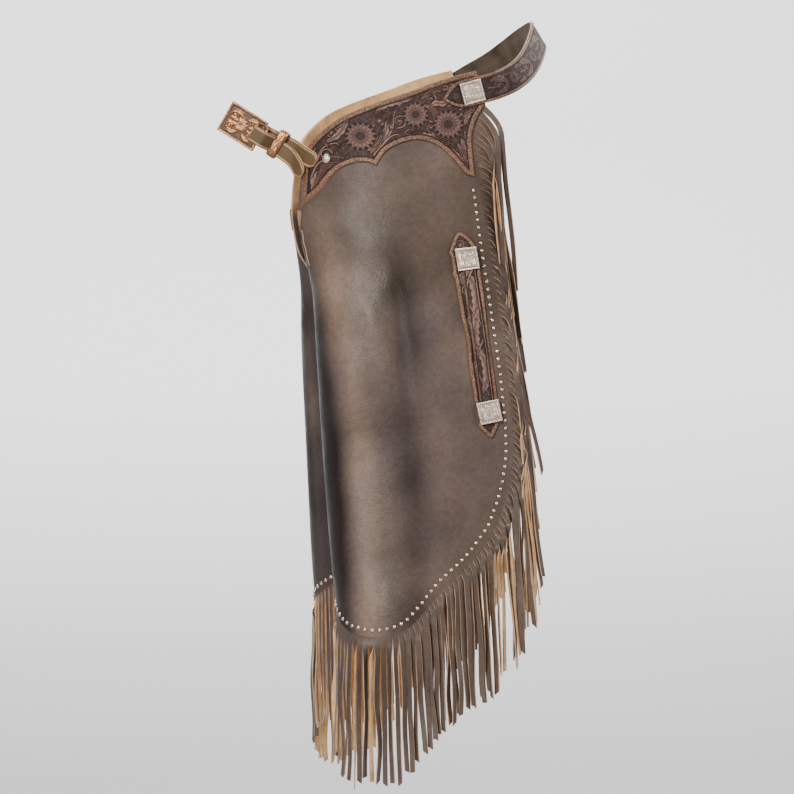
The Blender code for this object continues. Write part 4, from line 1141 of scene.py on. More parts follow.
strap_out = leg_place(strap_q, strap_z * MM, SIDE_STRAP_LIFT + SIDE_STRAP_THICK + arch + crown - 0.9 * MM * (0.8 - height))
side_straps = {}
for label, side in SIDES:
    side_straps[label] = shell(
        f"side_strap_leather_{label}", strap_in, strap_out, (TOOLED, FLESH, CUT_EDGE), side, {"relief": height, "border": 0.4 * border}
    )
    finish_piece(side_straps[label], "tooled_leather", f"side_strap_{label}")
print("patches and side straps done")


# %% [markdown]
# ## Square plates
# Silver-coloured squares with a beaded rim and fine engraved scrolls.


# %% Plates
def engraved_square(cells, seed):
    """Height of an engraved square over a grid from -1 to 1: a beaded rim round a scrolled, domed field."""
    side = np.linspace(-1.0, 1.0, cells)
    u, v = np.meshgrid(side, -side)
    places = np.stack([u, v], axis=-1) * 13.0
    carving = Carving(places)
    for k in range(4):
        angle = math.radians(45 + 90 * k + 7 * seed)
        x, y = 6.2 * math.cos(angle), 6.2 * math.sin(angle)
        carving.scroll(x, y, 4.2, 1.5, 90 * k + 30 * seed, 1 if k % 2 else -1, 0.8)
        turned = angle + math.radians(45)
        carving.leaf([(1.5 * math.cos(turned), 1.5 * math.sin(turned)), (9.4 * math.cos(turned), 9.4 * math.sin(turned))], 2.0, 3)
    carving.flower(0, 0, 3.6, 8, 0.3)
    far = np.maximum(np.abs(u), np.abs(v))
    around = np.where(np.abs(u) > np.abs(v), v, u)
    beads = 0.62 + 0.34 * np.cos(around * math.pi * 11.0)
    field = 0.3 + 0.6 * carving.height.reshape(u.shape)
    height = np.where(far > 0.84, beads, field)
    height = height * (1.0 - 0.9 * np.exp(-(((far - 0.81) / 0.035) ** 2)))
    dome = 1.0 - 0.5 * (u * u + v * v)
    return u, v, height, dome


def square_plate(name, centre, lean_deg, lift, side, seed, node):
    """A square plate on the leg's outer side, over a place given by x and z in millimetres."""
    u, v, height, dome = engraved_square(52, seed)
    angle = math.radians(lean_deg)
    half = 0.5 * PLATE_SIZE / MM
    x = centre[0] + half * (u * math.cos(angle) - v * math.sin(angle))
    z = centre[1] + half * (u * math.sin(angle) + v * math.cos(angle))
    q = outer_q(x * MM, z * MM)
    low = leg_place(q, z * MM, np.full(u.shape, lift))
    top = leg_place(q, z * MM, lift + (1.3 + 0.9 * dome + 0.75 * height) * MM)
    made = shell(name, low, top, (SILVER, SILVER, SILVER), side, {"relief": height})
    return finish_piece(made, "engraved_silver", node)


belt_plate_z = 38.5 + (50.5 - 38.5) * 0.66
for label, side in SIDES:
    square_plate(f"plate_belt_{label}", (75, 48.2), 15, 8.5 * MM, side, 0, f"belt_plate_{label}")
    square_plate(f"plate_upper_{label}", (66.2, -160.5), 7, 7.5 * MM, side, 1, f"side_plate_upper_{label}")
    square_plate(f"plate_lower_{label}", (90.6, -346.5), 12, 7.5 * MM, side, 2, f"side_plate_lower_{label}")
print("plates done")

# %% [markdown]
# ## Back belt
# One tooled strap from yoke to yoke. It lies on both yokes and hangs free round the back, where it leans out.

# %% Belt
BELT_LINE = (
    # x, y, z, lean_deg
    (39, -120, 38.5, 15),
    (60, -121, 44.5, 15),
    (84, -120, 50.5, 16),
    (106, -113, 56, 20),
    (128, -97, 65, 24),
    (148, -72, 79, 28),
    (164, -39, 100, 31),
    (173, 0, 119, 31),
    (165, 41, 113, 30),
    (150, 75, 98, 28),
    (130, 98, 81, 24),
    (107, 114, 66, 20),
    (84, 120, 53, 16),
    (60, 121, 45, 15),
    (39, 120, 38.5, 15),
)
BELT_LEAVES = 93.0
BELT_ROWS, BELT_COLS = 520, 28

line = smooth_rows(BELT_LINE, 12)
total = lengths(line[:, :3])
places = np.sort(np.concatenate([np.linspace(0.0, total[-1], BELT_ROWS - 24), np.linspace(0.4, 20, 12), total[-1] - np.linspace(0.4, 20, 12)]))
at = np.column_stack([np.interp(places, total, line[:, c]) for c in range(4)])
ahead = np.column_stack([np.interp(places + 4.0, total, line[:, c]) for c in range(3)])
behind = np.column_stack([np.interp(places - 4.0, total, line[:, c]) for c in range(3)])
way = unit(ahead - behind)
lean = np.radians(at[:, 3])
down = np.column_stack([np.sin(lean), np.zeros(len(lean)), -np.cos(lean)])
down = unit(down - way * np.sum(down * way, axis=1, keepdims=True))
out = unit(np.cross(down, way))
wrong = np.sum(out * np.column_stack([at[:, 0] - 60.0, at[:, 1], np.zeros(len(at))]), axis=1) < 0.0
out[wrong] *= -1.0
from_end = np.minimum(places, total[-1] - places)
half = 0.5 * BELT_WIDTH * np.maximum(1.0 - (1.0 - np.minimum(from_end / 30.0, 1.0)) ** 2.2, 0.06)
spread = np.linspace(-1.0, 1.0, BELT_COLS)
belt_flat = np.stack([np.repeat(places[:, None], BELT_COLS, axis=1), half[:, None] / MM * spread[None, :]], axis=-1)
belt_outline = np.vstack([belt_flat[0], belt_flat[::5, -1], belt_flat[-1, ::-1], belt_flat[::-5, 0]])

carving = Carving(belt_flat)
carving.matt_ground()
carving.flower(16, 0, 5.2, 9, 0.2)
step = 58.0
for k in range(int((total[-1] - 90) / step) + 1):
    s = 62.0 + k * step
    carving.leaf([(s, -7), (s + 10, -9), (s + 20, -4), (s + 27, 4)], 4.2, 5)
    carving.leaf([(s + 2, 8), (s + 12, 10), (s + 20, 7), (s + 26, 1)], 3.6, 4)
    carving.stem([(s - 4, 0), (s + 10, 1), (s + 22, -8), (s + 40, -8)], 1.3)
    carving.scroll(s + 10, -1, 4.8, 1.4, 180, 1, 1.0)
    carving.leaf([(s + 46, -9), (s + 52, -10), (s + 60, -7)], 3.4, 3)
    carving.leaf([(s + 44, 9), (s + 52, 10), (s + 60, 7)], 3.4, 3)
    carving.flower(s + 38, 0, 9.4, 11, 0.3 * k)
height, border = bordered(belt_flat, belt_outline, 0.72 * carving.height, 3.6)
height = height.reshape(belt_flat.shape[:2])

free = at[:, None, :3] * MM + down[:, None, :] * (half[:, None] * spread[None, :])[..., None]
lift_low = np.full(height.shape, BELT_LIFT)
lift_top = BELT_LIFT + BELT_THICK - 0.9 * MM * (0.75 - height)
blend = soft((free[..., 0] / MM - BELT_LEAVES) / 24.0)[..., None]
free_top = free + out[:, None, :] * (lift_top - BELT_LIFT)[..., None]
mirror = np.stack([np.ones(height.shape), np.where(at[:, 1] < 0.0, 1.0, -1.0)[:, None] * np.ones(height.shape), np.ones(height.shape)], axis=-1)
worn_q = outer_q(np.minimum(free[..., 0], 0.125), free[..., 2])
worn = leg_place(worn_q, free[..., 2], lift_low) * mirror
worn_top = leg_place(worn_q, free[..., 2], lift_top) * mirror
belt_low = free * blend + worn * (1.0 - blend)
belt_top = free_top * blend + worn_top * (1.0 - blend)
belt = shell("belt_leather", belt_low, belt_top, (TOOLED, LINING, CUT_EDGE), -1, {"relief": height, "border": border})
finish_piece(belt, "tooled_leather", "belt")
print("belt", round(total[-1]), "mm long")

# %% [markdown]
# ## Front straps and buckle
# The straps lie on a sheet that leaves the yoke's front corner and runs forward to the fold at the buckle. Places
# on it are `u`, the distance back from the corner (minus is forward), and `z`.

# %% Strap sheet
FRONT_STRAP_THICK = 3.0 * MM
FRONT_STRAP_WIDTH = 21.0 * MM
CORNER_Z = -40.0 * MM
CORNER_TURN = 22.0 * MM
FORWARD_DEG = 22.0
FRONT_END_U = -100.0 * MM
OVER = FRONT_STRAP_THICK + 0.8 * MM
NEAR_LINE = (
    # u, z
    (-100, 19),
    (-60, 0.5),
    (-33, -13),
    (0, -29),
    (26, -40.5),
)
BILLET_LINE = (
    # u, z
    (-100, 19),
    (-60, -5),
    (-33, -21.5),
    (-10, -38),
    (10, -57),
)


def one_leg_point(q, z, lift=0.0):
    """One point over the leg."""
    return leg_place(np.array([q]), np.array([z]), np.array([lift]))[0]


CORNER_HEIGHTS = np.linspace(-90.0 * MM, 70.0 * MM, 81)
CORNER_POINTS = leg_place(np.full(81, 0.6 * MM), CORNER_HEIGHTS, np.full(81, BELT_LIFT))
CORNER_HEADINGS = 90.0 - np.interp(CORNER_HEIGHTS / MM, SECTION_CURVE[::-1, 0], SECTION_CURVE[::-1, 3])


def corner_place(z):
    """Where the sheet meets the yoke's front corner, in plan, and its direction forward in degrees."""
    place = [np.interp(z, CORNER_HEIGHTS, CORNER_POINTS[:, c]) for c in (0, 1)]
    return np.array(place), float(np.interp(z, CORNER_HEIGHTS, CORNER_HEADINGS))


def on_sheet(u, z, lift=0.0):
    """A point on the left front sheet, with a lift out from it."""
    if u >= 0.0:
        return one_leg_point(u + 0.0006, z, BELT_LIFT + lift)
    start, first = corner_place(z)
    usual, _ = corner_place(CORNER_Z)
    place = start.copy()
    step = -u / 12
    for k in range(12):
        angle = math.radians(first + (FORWARD_DEG - first) * soft((k + 0.5) * step / CORNER_TURN))
        place += step * np.array([-math.cos(angle), math.sin(angle)])
    place += (usual - start) * soft(-u / 0.04)
    angle = math.radians(first + (FORWARD_DEG - first) * soft(-u / CORNER_TURN))
    return np.array([*(place + np.array([-math.sin(angle), -math.cos(angle)]) * lift), z])


def line_place(rows, u):
    """The place of a strap's middle line on the sheet at u, and the way across the strap there."""
    curve = smooth_rows(rows)
    ends = [float(np.interp((u + shift) / MM, curve[:, 0], curve[:, 1])) for shift in (-2.0 * MM, 0.0, 2.0 * MM)]
    return np.array([u, ends[1] * MM]), unit(np.array([(ends[0] - ends[2]) / 4.0, 1.0]))


def strap_row(rows, u, half, lift, crown=0.0):
    """Points across a strap on the sheet, a little crowned."""
    place, across = line_place(rows, u)
    return [on_sheet(*(place + across * v * half), lift + crown * (1.0 - v * v)) for v in STRAP_SPREAD]


def fold_point(start, end, t, reach):
    """A point on the round fold in front of two ends of a strap."""
    spread = 0.5 - 0.5 * math.cos(math.pi * t)
    return start + (end - start) * spread + np.array([-1.0, 0.0, 0.35]) * reach * math.sqrt(4.0 * t * (1.0 - t))


STRAP_COUNT = 25
STRAP_SPREAD = np.linspace(1.0, -1.0, STRAP_COUNT)
STRAP_LINE = np.clip(1.5 - np.abs(np.abs(STRAP_SPREAD) - 0.8) / 0.09, 0.0, 1.0)
print("strap sheet starts at", np.round(on_sheet(0.0, CORNER_Z), 3).tolist())


# %% Front straps
def strap_half(u, end_u, round_mm, end_share):
    """Half the strap's width near its rounded end."""
    end = 1.0 - min((end_u - u) / (round_mm * MM), 1.0)
    return 0.5 * FRONT_STRAP_WIDTH * math.sqrt(max(1.0 - end_share * end * end, 0.0))


near_u = np.linspace(25.0 * MM, FRONT_END_U + 0.004, 56)
near_low = np.array([strap_row(NEAR_LINE, u, strap_half(u, 0.025, 10, 0.8), 0.0) for u in near_u])
near_high = np.array([strap_row(NEAR_LINE, u, strap_half(u, 0.025, 10, 0.8), FRONT_STRAP_THICK - 0.4 * MM, 0.4 * MM) for u in near_u])
strap_stored = {"relief": np.full(near_low.shape[:2], 0.55), "border": np.tile(STRAP_LINE, (len(near_u), 1))}
left_strap = shell("front_strap_leather_left", near_low, near_high, (TAN_TOOLED, FLESH, CUT_EDGE), -1, strap_stored)
finish_piece(left_strap, "tan_leather", "front_strap_left")

FOLD_U = FRONT_END_U + 13.0 * MM
far_u = np.linspace(25.0 * MM, FOLD_U, 52)
mirrored = np.array([1.0, -1.0, 1.0])
far_low = [np.array(strap_row(NEAR_LINE, u, strap_half(u, 0.025, 10, 0.8), 0.0)) * mirrored for u in far_u]
far_high = [np.array(strap_row(NEAR_LINE, u, strap_half(u, 0.025, 10, 0.8), FRONT_STRAP_THICK)) * mirrored for u in far_u]
back_u = np.linspace(FOLD_U, 9.0 * MM, 104)


def billet_lift(u):
    """The billet's lift: under the plate's front half, up through its slot and down again behind it."""
    if u < -64.0 * MM:
        return OVER
    return OVER + 8.4 * MM * (1.0 - float(soft((u + 50.0 * MM) / 0.011)))


back_low = [np.array(strap_row(BILLET_LINE, u, strap_half(u, 0.009, 14, 0.93), billet_lift(u))) for u in back_u]
back_high = [
    np.array(strap_row(BILLET_LINE, u, strap_half(u, 0.009, 14, 0.93), billet_lift(u) + FRONT_STRAP_THICK - 0.4 * MM, 0.4 * MM))
    for u in back_u
]
fold_low, fold_high = [], []
for t in np.linspace(0.0, 1.0, 16)[1:-1]:
    fold_low.append(np.array([fold_point(far_low[-1][j], back_low[0][j], t, 4.0 * MM) for j in range(STRAP_COUNT)]))
    fold_high.append(np.array([fold_point(far_high[-1][j], back_high[0][j], t, 7.6 * MM) for j in range(STRAP_COUNT)]))
strap_low = np.array(far_low + fold_low + back_low)
strap_high = np.array(far_high + fold_high + back_high)
strap_stored = {"relief": np.full(strap_low.shape[:2], 0.5), "border": np.tile(STRAP_LINE, (len(strap_low), 1))}
right_strap = shell("front_strap_leather_right", strap_low, strap_high, (TAN_TOOLED, FLESH, CUT_EDGE), -1, strap_stored)
finish_piece(right_strap, "tan_leather", "front_strap_right")
print("front straps done")

# %% Buckle plate and keeper
BUCKLE_U, KEEPER_U = -71.5 * MM, -33.0 * MM
BUCKLE_LENGTH, BUCKLE_HEIGHT = 53.0, 41.0
BUCKLE_OVER = 2.0 * FRONT_STRAP_THICK + 1.1 * MM


def sheet_frame(u):
    """A middle place on the straps, with the ways along and across them."""
    centre, across = line_place(BILLET_LINE, u)
    return centre, np.array([across[1], -across[0]]), across


centre, along_way, across_way = sheet_frame(BUCKLE_U)
centre = centre + along_way * -6.0 * MM
t_side, v_side = np.linspace(-0.5, 0.5, 64), np.linspace(0.5, -0.5, 46)
t_grid, v_grid = np.meshgrid(t_side, v_side)
buckle_flat = np.stack([t_grid * BUCKLE_LENGTH, v_grid * BUCKLE_HEIGHT], axis=-1)
carving = Carving(buckle_flat)
carving.flower(-3, 0, 9.5, 11, 0.2)
for sx in (-1, 1):
    for sz in (-1, 1):
        carving.scroll(15 * sx, 8.0 * sz, 5.0, 1.5, 90 * sx * sz, sx * sz, 1.0)
        carving.leaf([(4 * sx, 10 * sz), (10 * sx, 13 * sz), (18 * sx, 13.2 * sz)], 2.6, 4)
        carving.leaf([(8 * sx, 2 * sz), (12 * sx, 3.2 * sz), (20 * sx, 2.4 * sz)], 2.4, 3)
edge = np.minimum(0.5 * BUCKLE_LENGTH - np.abs(buckle_flat[..., 0]), 0.5 * BUCKLE_HEIGHT - np.abs(buckle_flat[..., 1]))
rope_along = np.where(
    0.5 * BUCKLE_LENGTH - np.abs(buckle_flat[..., 0]) < 0.5 * BUCKLE_HEIGHT - np.abs(buckle_flat[..., 1]), buckle_flat[..., 1], buckle_flat[..., 0]
)
rope = 0.7 + 0.28 * np.sin(rope_along * 3.0 + edge * 2.0)
height = np.where(edge < 2.6, rope, 0.12 + 0.8 * carving.height.reshape(edge.shape))
height = height * (1.0 - 0.9 * np.exp(-(((edge - 3.0) / 0.5) ** 2)))
height = np.where(edge < 0.4, 0.2, height)
buckle_low = np.zeros(height.shape + (3,))
buckle_high = np.zeros(height.shape + (3,))
for i in range(height.shape[0]):
    for j in range(height.shape[1]):
        u, z = centre + along_way * buckle_flat[i, j, 0] * MM + across_way * buckle_flat[i, j, 1] * MM
        buckle_low[i, j] = on_sheet(u, z, BUCKLE_OVER)
        buckle_high[i, j] = on_sheet(u, z, BUCKLE_OVER + (2.6 + 1.2 * height[i, j]) * MM)
buckle = shell("front_buckle_plate", buckle_low, buckle_high, (COPPER, COPPER, COPPER), -1, {"relief": height})
finish_piece(buckle, "engraved_copper", "front_buckle")

centre, along_way, across_way = sheet_frame(KEEPER_U)
centre = 0.5 * (centre + line_place(NEAR_LINE, KEEPER_U)[0])
inner_half = 0.5 * FRONT_STRAP_WIDTH / MM + 5.6
middle_lift, half_lift = 0.5 * (BUCKLE_OVER / MM - 0.3), 0.5 * (BUCKLE_OVER / MM + 0.3)
ring_low, ring_high, ring_height = [], [], []
for k in range(73):
    angle = 2.0 * math.pi * k / 72.0
    c, s = math.cos(angle), math.sin(angle)
    rounded = (abs(c) ** 5 + abs(s) ** 5) ** (-1.0 / 5.0)
    low_row, high_row, relief_row = [], [], []
    for t in np.linspace(-1.0, 1.0, 17):
        bulge = 1.1 + 1.3 * math.sqrt(max(1.0 - t * t, 0.0))
        relief = 0.5 + 0.45 * math.sin(9.0 * angle + 2.5 * math.sin(6.0 * t)) * math.cos(5.0 * t)
        for rows, grow in ((low_row, 0.0), (high_row, bulge + 0.5 * relief)):
            v = (inner_half + grow) * c * rounded
            lift = middle_lift + (half_lift + grow) * s * rounded
            u, z = centre + along_way * 6.0 * t * MM + across_way * v * MM
            rows.append(on_sheet(u, z, lift * MM))
        relief_row.append(relief)
    ring_low.append(low_row)
    ring_high.append(high_row)
    ring_height.append(relief_row)
keeper = shell("front_keeper_ring", np.array(ring_low), np.array(ring_high), (COPPER, COPPER, COPPER), -1, {"relief": ring_height})
finish_piece(keeper, "engraved_copper", "front_keeper")
print("buckle and keeper done")

# %% [markdown]
# ## Small pieces on the yoke and the front edge
# A pearl snap, a tab of rough leather at the top of the front edge, and plain straps behind each thigh.

# %% Buckle bar
bar_place, _ = line_place(BILLET_LINE, -57.0 * MM)
bar_centre = bar_place + across_way * 12.0 * MM
bar_low, bar_high = [], []
for k in range(41):
    angle = 2.0 * math.pi * k / 40.0
    ring_way = along_way * math.cos(angle) * 6.5 + across_way * math.sin(angle) * 3.4
    for rows, size in ((bar_low, 0.72), (bar_high, 1.28)):
        u, z = bar_centre + ring_way * size * MM
        rows.append([on_sheet(u, z, BUCKLE_OVER + rise * MM) for rise in ((1.0, 3.2, 5.4) if size < 1 else (0.4, 3.2, 6.0))])
bar = shell("front_buckle_bar", np.array(bar_low), np.array(bar_high), (COPPER, COPPER, COPPER), -1, {"relief": np.full((41, 3), 0.8)})
finish_piece(bar, "engraved_copper")

# %% Snaps
PEARL = engraved_metal("pearl_snap", (0.6, 0.56, 0.52), (1.0, 0.97, 0.94), 0.42)
snap_q = float(outer_q(np.array([-98.0 * MM]), np.array([-35.0 * MM]))[0])
snap_base = one_leg_point(snap_q, -35.0 * MM, BELT_LIFT)
snap_axis = unit(one_leg_point(snap_q, -35.0 * MM, BELT_LIFT + MM) - snap_base)
snap_first = unit(np.cross(snap_axis, (0.0, 0.0, 1.0)))
snap_second = np.cross(snap_axis, snap_first)
SNAP_PROFILE = ((0.0, 0.0), (1.0, 0.0), (1.0, 0.25), (0.96, 0.42), (0.86, 0.5), (0.84, 0.46), (0.8, 0.62), (0.66, 0.82), (0.4, 0.96), (0.0, 1.0))


def turned_piece(name, base, axis, first, second, profile, radius, height, finish, side, sides=32):
    """A round piece from a profile of radius and height shares."""
    points, faces = [], []
    for share, rise in profile:
        for k in range(sides):
            angle = 2.0 * math.pi * k / sides
            spoke = first * math.cos(angle) + second * math.sin(angle)
            points.append(base + spoke * max(share, 0.002) * radius + axis * rise * height)
    for ring in range(len(profile) - 1):
        for k in range(sides):
            n = (k + 1) % sides
            faces.append((ring * sides + k, ring * sides + n, (ring + 1) * sides + n, (ring + 1) * sides + k))
    faces.append(tuple(range(sides - 1, -1, -1)))
    faces.append(tuple((len(profile) - 1) * sides + k for k in range(sides)))
    if side > 0:
        faces = [tuple(reversed(face)) for face in faces]
    if np.dot(np.cross(first, second), axis) < 0.0:
        faces = [tuple(reversed(face)) for face in faces]
    stored = {"relief": np.repeat([0.7 if share < 0.82 else 0.4 for share, _ in profile], sides)}
    return make_mesh(name, flip(np.array(points), side), faces, (finish,), None, stored)


for label, side in SIDES:
    made = turned_piece(
        f"snap_cap_{label}", snap_base, snap_axis, snap_first, snap_second, SNAP_PROFILE, 5.6 * MM, 3.1 * MM, PEARL, side
    )
    finish_piece(made, "engraved_silver", f"snap_{label}")
print("snaps done")

# %% Tabs
TAB_ROWS = (
    # z, front_q, rear_q
    (-99.5, 0.6, 9.5),
    (-106, 0.6, 9.0),
    (-113, 0.8, 7.0),
    (-120, 1.0, 4.6),
    (-126, 1.2, 2.4),
)
table = smooth_rows(TAB_ROWS, 6)
tab_q = table[:, 1:2] * (1.0 - np.linspace(0, 1, 9)) + table[:, 2:3] * np.linspace(0, 1, 9)
tab_z = np.repeat(table[:, :1], 9, axis=1)
uneven = 0.25 * np.sin(tab_z * 2.3 + tab_q) * MM
tab_low = leg_place(tab_q * MM, tab_z * MM, np.full(tab_q.shape, YOKE_LIFT))
tab_high = leg_place(tab_q * MM, tab_z * MM, YOKE_LIFT + 1.6 * MM + uneven)
for label, side in SIDES:
    made = shell(f"edge_tab_leather_{label}", tab_low, tab_high, (TAB, FLESH, TAB), side)
    finish_piece(made, "rough_leather", f"edge_tab_{label}")
print("tabs done")

# %% Leg straps
INSIDE_CLEAR, LEG_STRAP_THICK, LEG_STRAP_WIDTH = 1.7 * MM, 2.5 * MM, 25.0 * MM
STRAP_ON_WALL, STRAP_REACH = 26.0 * MM, 56.0 * MM
LEG_STRAPS = (
    # name, outer_x, outer_z, inner_q, inner_z
    ("upper", 46, -172, -84, -262),
    ("lower", 66, -352, -98, -400),
)


def strap_behind(outer_x, outer_z, inner_q, inner_z):
    """The inside and outside grid of a strap behind the thigh."""
    outer_at = float(outer_q(np.array([outer_x * MM]), np.array([outer_z * MM]))[0])
    spread = np.linspace(1.0, -1.0, 9)
    half = 0.5 * LEG_STRAP_WIDTH
    low, high = [], []

    def on_wall(q, z):
        zs = z + spread * half
        qs = np.full(9, q)
        high.append(leg_place(qs, zs, np.full(9, -INSIDE_CLEAR)))
        low.append(leg_place(qs, zs, np.full(9, -INSIDE_CLEAR - LEG_STRAP_THICK)))

    for t in np.linspace(0.0, 1.0, 8):
        on_wall(outer_at + STRAP_ON_WALL * t, outer_z * MM)
    ends = []
    for q, z in ((outer_at + STRAP_ON_WALL, outer_z * MM), (inner_q * MM, inner_z * MM)):
        normal = smooth_normal(np.array([q]), np.array([z]))[0]
        ahead = unit(np.cross((0.0, 0.0, 1.0), normal))
        ends.append((one_leg_point(q, z, -INSIDE_CLEAR), ahead * math.copysign(1.0, ahead[0])))
    (p0, leave), (p3, arrive) = ends
    p1, p2 = p0 + leave * STRAP_REACH, p3 + arrive * STRAP_REACH * 1.6
    rise = np.array([0.0, 0.0, 1.0])
    for t in np.linspace(0.0, 1.0, 42)[1:-1]:
        place = (1 - t) ** 3 * p0 + 3 * t * (1 - t) ** 2 * p1 + 3 * t * t * (1 - t) * p2 + t**3 * p3
        way = 3 * (1 - t) ** 2 * (p1 - p0) + 6 * t * (1 - t) * (p2 - p1) + 3 * t * t * (p3 - p2)
        out = unit(np.cross(way, rise))
        edge = place + rise * (half * spread)[:, None]
        high.append(edge)
        low.append(edge - out * LEG_STRAP_THICK)
    for t in np.linspace(0.0, 1.0, 8):
        on_wall(inner_q * MM + STRAP_ON_WALL * t, inner_z * MM)
    return np.array(low), np.array(high)


for name, outer_x, outer_z, inner_q, inner_z in LEG_STRAPS:
    low, high = strap_behind(outer_x, outer_z, inner_q, inner_z)
    for label, side in SIDES:
        made = shell(f"thigh_strap_{name}_{label}", low, high, (LEATHER, FLESH, CUT_EDGE), side)
        finish_piece(made, "oiled_leather", f"leg_strap_{name}_{label}")

# %% [markdown]
# ## Fringe
# Each strand leaves the cut edge, bends down under its own weight and twists, so that some show the dark grain side,
# some the pale flesh side and some only their cut edge.

# %% Strand tables
STRAND_ROWS = (
    # root_z, length, lean, bend, layer, spread_turn
    (-700, 188, 0.05, 18, 0.0, 34),
    (-622, 186, 0.06, 18, 0.0, 34),
    (-610, 170, 0.07, 18, 0.0, 26),
    (-590, 163, 0.07, 18, 0.0, 18),
    (-540, 168, 0.07, 20, 0.0, 16),
    (-491, 186, 0.07, 24, 0.0, 20),
    (-413, 196, 0.07, 27, 1.0, 26),
    (-337, 200, 0.12, 29, 1.0, 26),
    (-240, 205, 0.16, 29, -2.0, 26),
    (-190, 205, 0.16, 29, -5.5, 26),
    (-70, 210, 0.15, 32, -5.5, 26),
    (-50, 215, 0.11, 42, 3.5, 30),
    (0, 225, 0.11, 50, 5.0, 30),
    (34, 240, 0.08, 48, 4.0, 30),
)
PALE_STRANDS = (
    # low_q, high_q, low_z, high_z: where strands turn their flesh side out
    (0.1, 0.5, -26, 6),
    (0.1, 0.5, -262, -236),
    (0.1, 0.5, -352, -332),
    (0.1, 0.5, -505, -466),
    (-0.006, 0.01, -700, -590),
    (0.0655, 0.0725, -700, -590),
)
STRAND_TABLE = np.array(STRAND_ROWS, dtype=float)
SIDE_PITCH, HEM_PITCH = 7.8 * MM, 7.15 * MM
STRAND_WIDTH, STRAND_THICK = 6.7 * MM, 1.7 * MM


def strand(q, z, out_q, out_z, length, lean, bend, turn_deg, wobble, layer, width):
    """The rings of one strand, each with four corners, from its root inside the edge to its tip."""
    root_q, root_z = np.array([q]), np.array([z])
    base = leg_place(root_q, root_z, np.array([0.5 * LEG_THICK]))[0]
    normal = smooth_normal(root_q, root_z)[0]
    step_q = smooth_leg(root_q + MM, root_z)[0] - smooth_leg(root_q - MM, root_z)[0]
    step_z = smooth_leg(root_q, root_z + MM)[0] - smooth_leg(root_q, root_z - MM)[0]
    out = unit(out_q * step_q + out_z * step_z)
    level = unit(np.array([out[0], out[1], 0.0]))
    upright = float(np.hypot(out[0], out[1]))
    down = unit(np.array([0.0, 0.0, -1.0]) + level * lean * upright)
    steps = np.concatenate([np.linspace(-1.5 * MM, 30.0 * MM, 10), np.linspace(38.0 * MM, length, 15)])
    place = base + out * steps[0]
    rings = []
    last = steps[0]
    for step in steps:
        gone = max(step, 0.0)
        for _ in range(2):
            share = float(soft((gone + 0.1 * bend) / (1.1 * bend)))
            way = unit(out * (1.0 - share) + down * (share + 0.45 * upright * (1.0 - share)))
            place = place + way * 0.5 * (step - last)
        last = step
        hang = float(soft(gone / (0.6 * length)))
        sway = wobble[0] * math.sin(wobble[1] + 2.6 * gone / length * math.pi) * hang
        across = unit(np.cross(way, normal))
        root_turn = -(11.0 + 12.0 * upright)
        turn = math.radians(root_turn) * float(soft(gone / 0.004))
        turn += math.radians(turn_deg - root_turn) * float(soft((gone - 0.3 * bend) / (1.2 * bend)))
        turn += math.radians(wobble[2]) * hang * math.sin(wobble[3] + 3.0 * gone / length)
        wide = across * math.cos(turn) + np.cross(way, across) * math.sin(turn)
        deep = np.cross(wide, way)
        shift = normal * (layer * float(soft(gone / 0.03)) + 2.2 * MM * float(soft(gone / 0.015))) + (level if upright > 0.2 else across) * sway * 0.6 + normal * sway
        centre = place + shift
        taper = 1.0 - 0.05 * gone / length + 0.14 * (1.0 - float(soft(gone / 0.02)))
        w = wide * 0.5 * width * taper
        d = deep * 0.5 * STRAND_THICK * (1.0 - 0.12 * gone / length)
        cup = deep * 0.35 * MM * hang
        rings.append([centre - w - d + cup, centre + w - d + cup, centre + w + d + cup, centre - w + d + cup])
    slant = wobble[4] * width
    rings[-1][1] = rings[-1][1] + down * slant
    rings[-1][2] = rings[-1][2] + down * slant
    return np.array(rings), normal


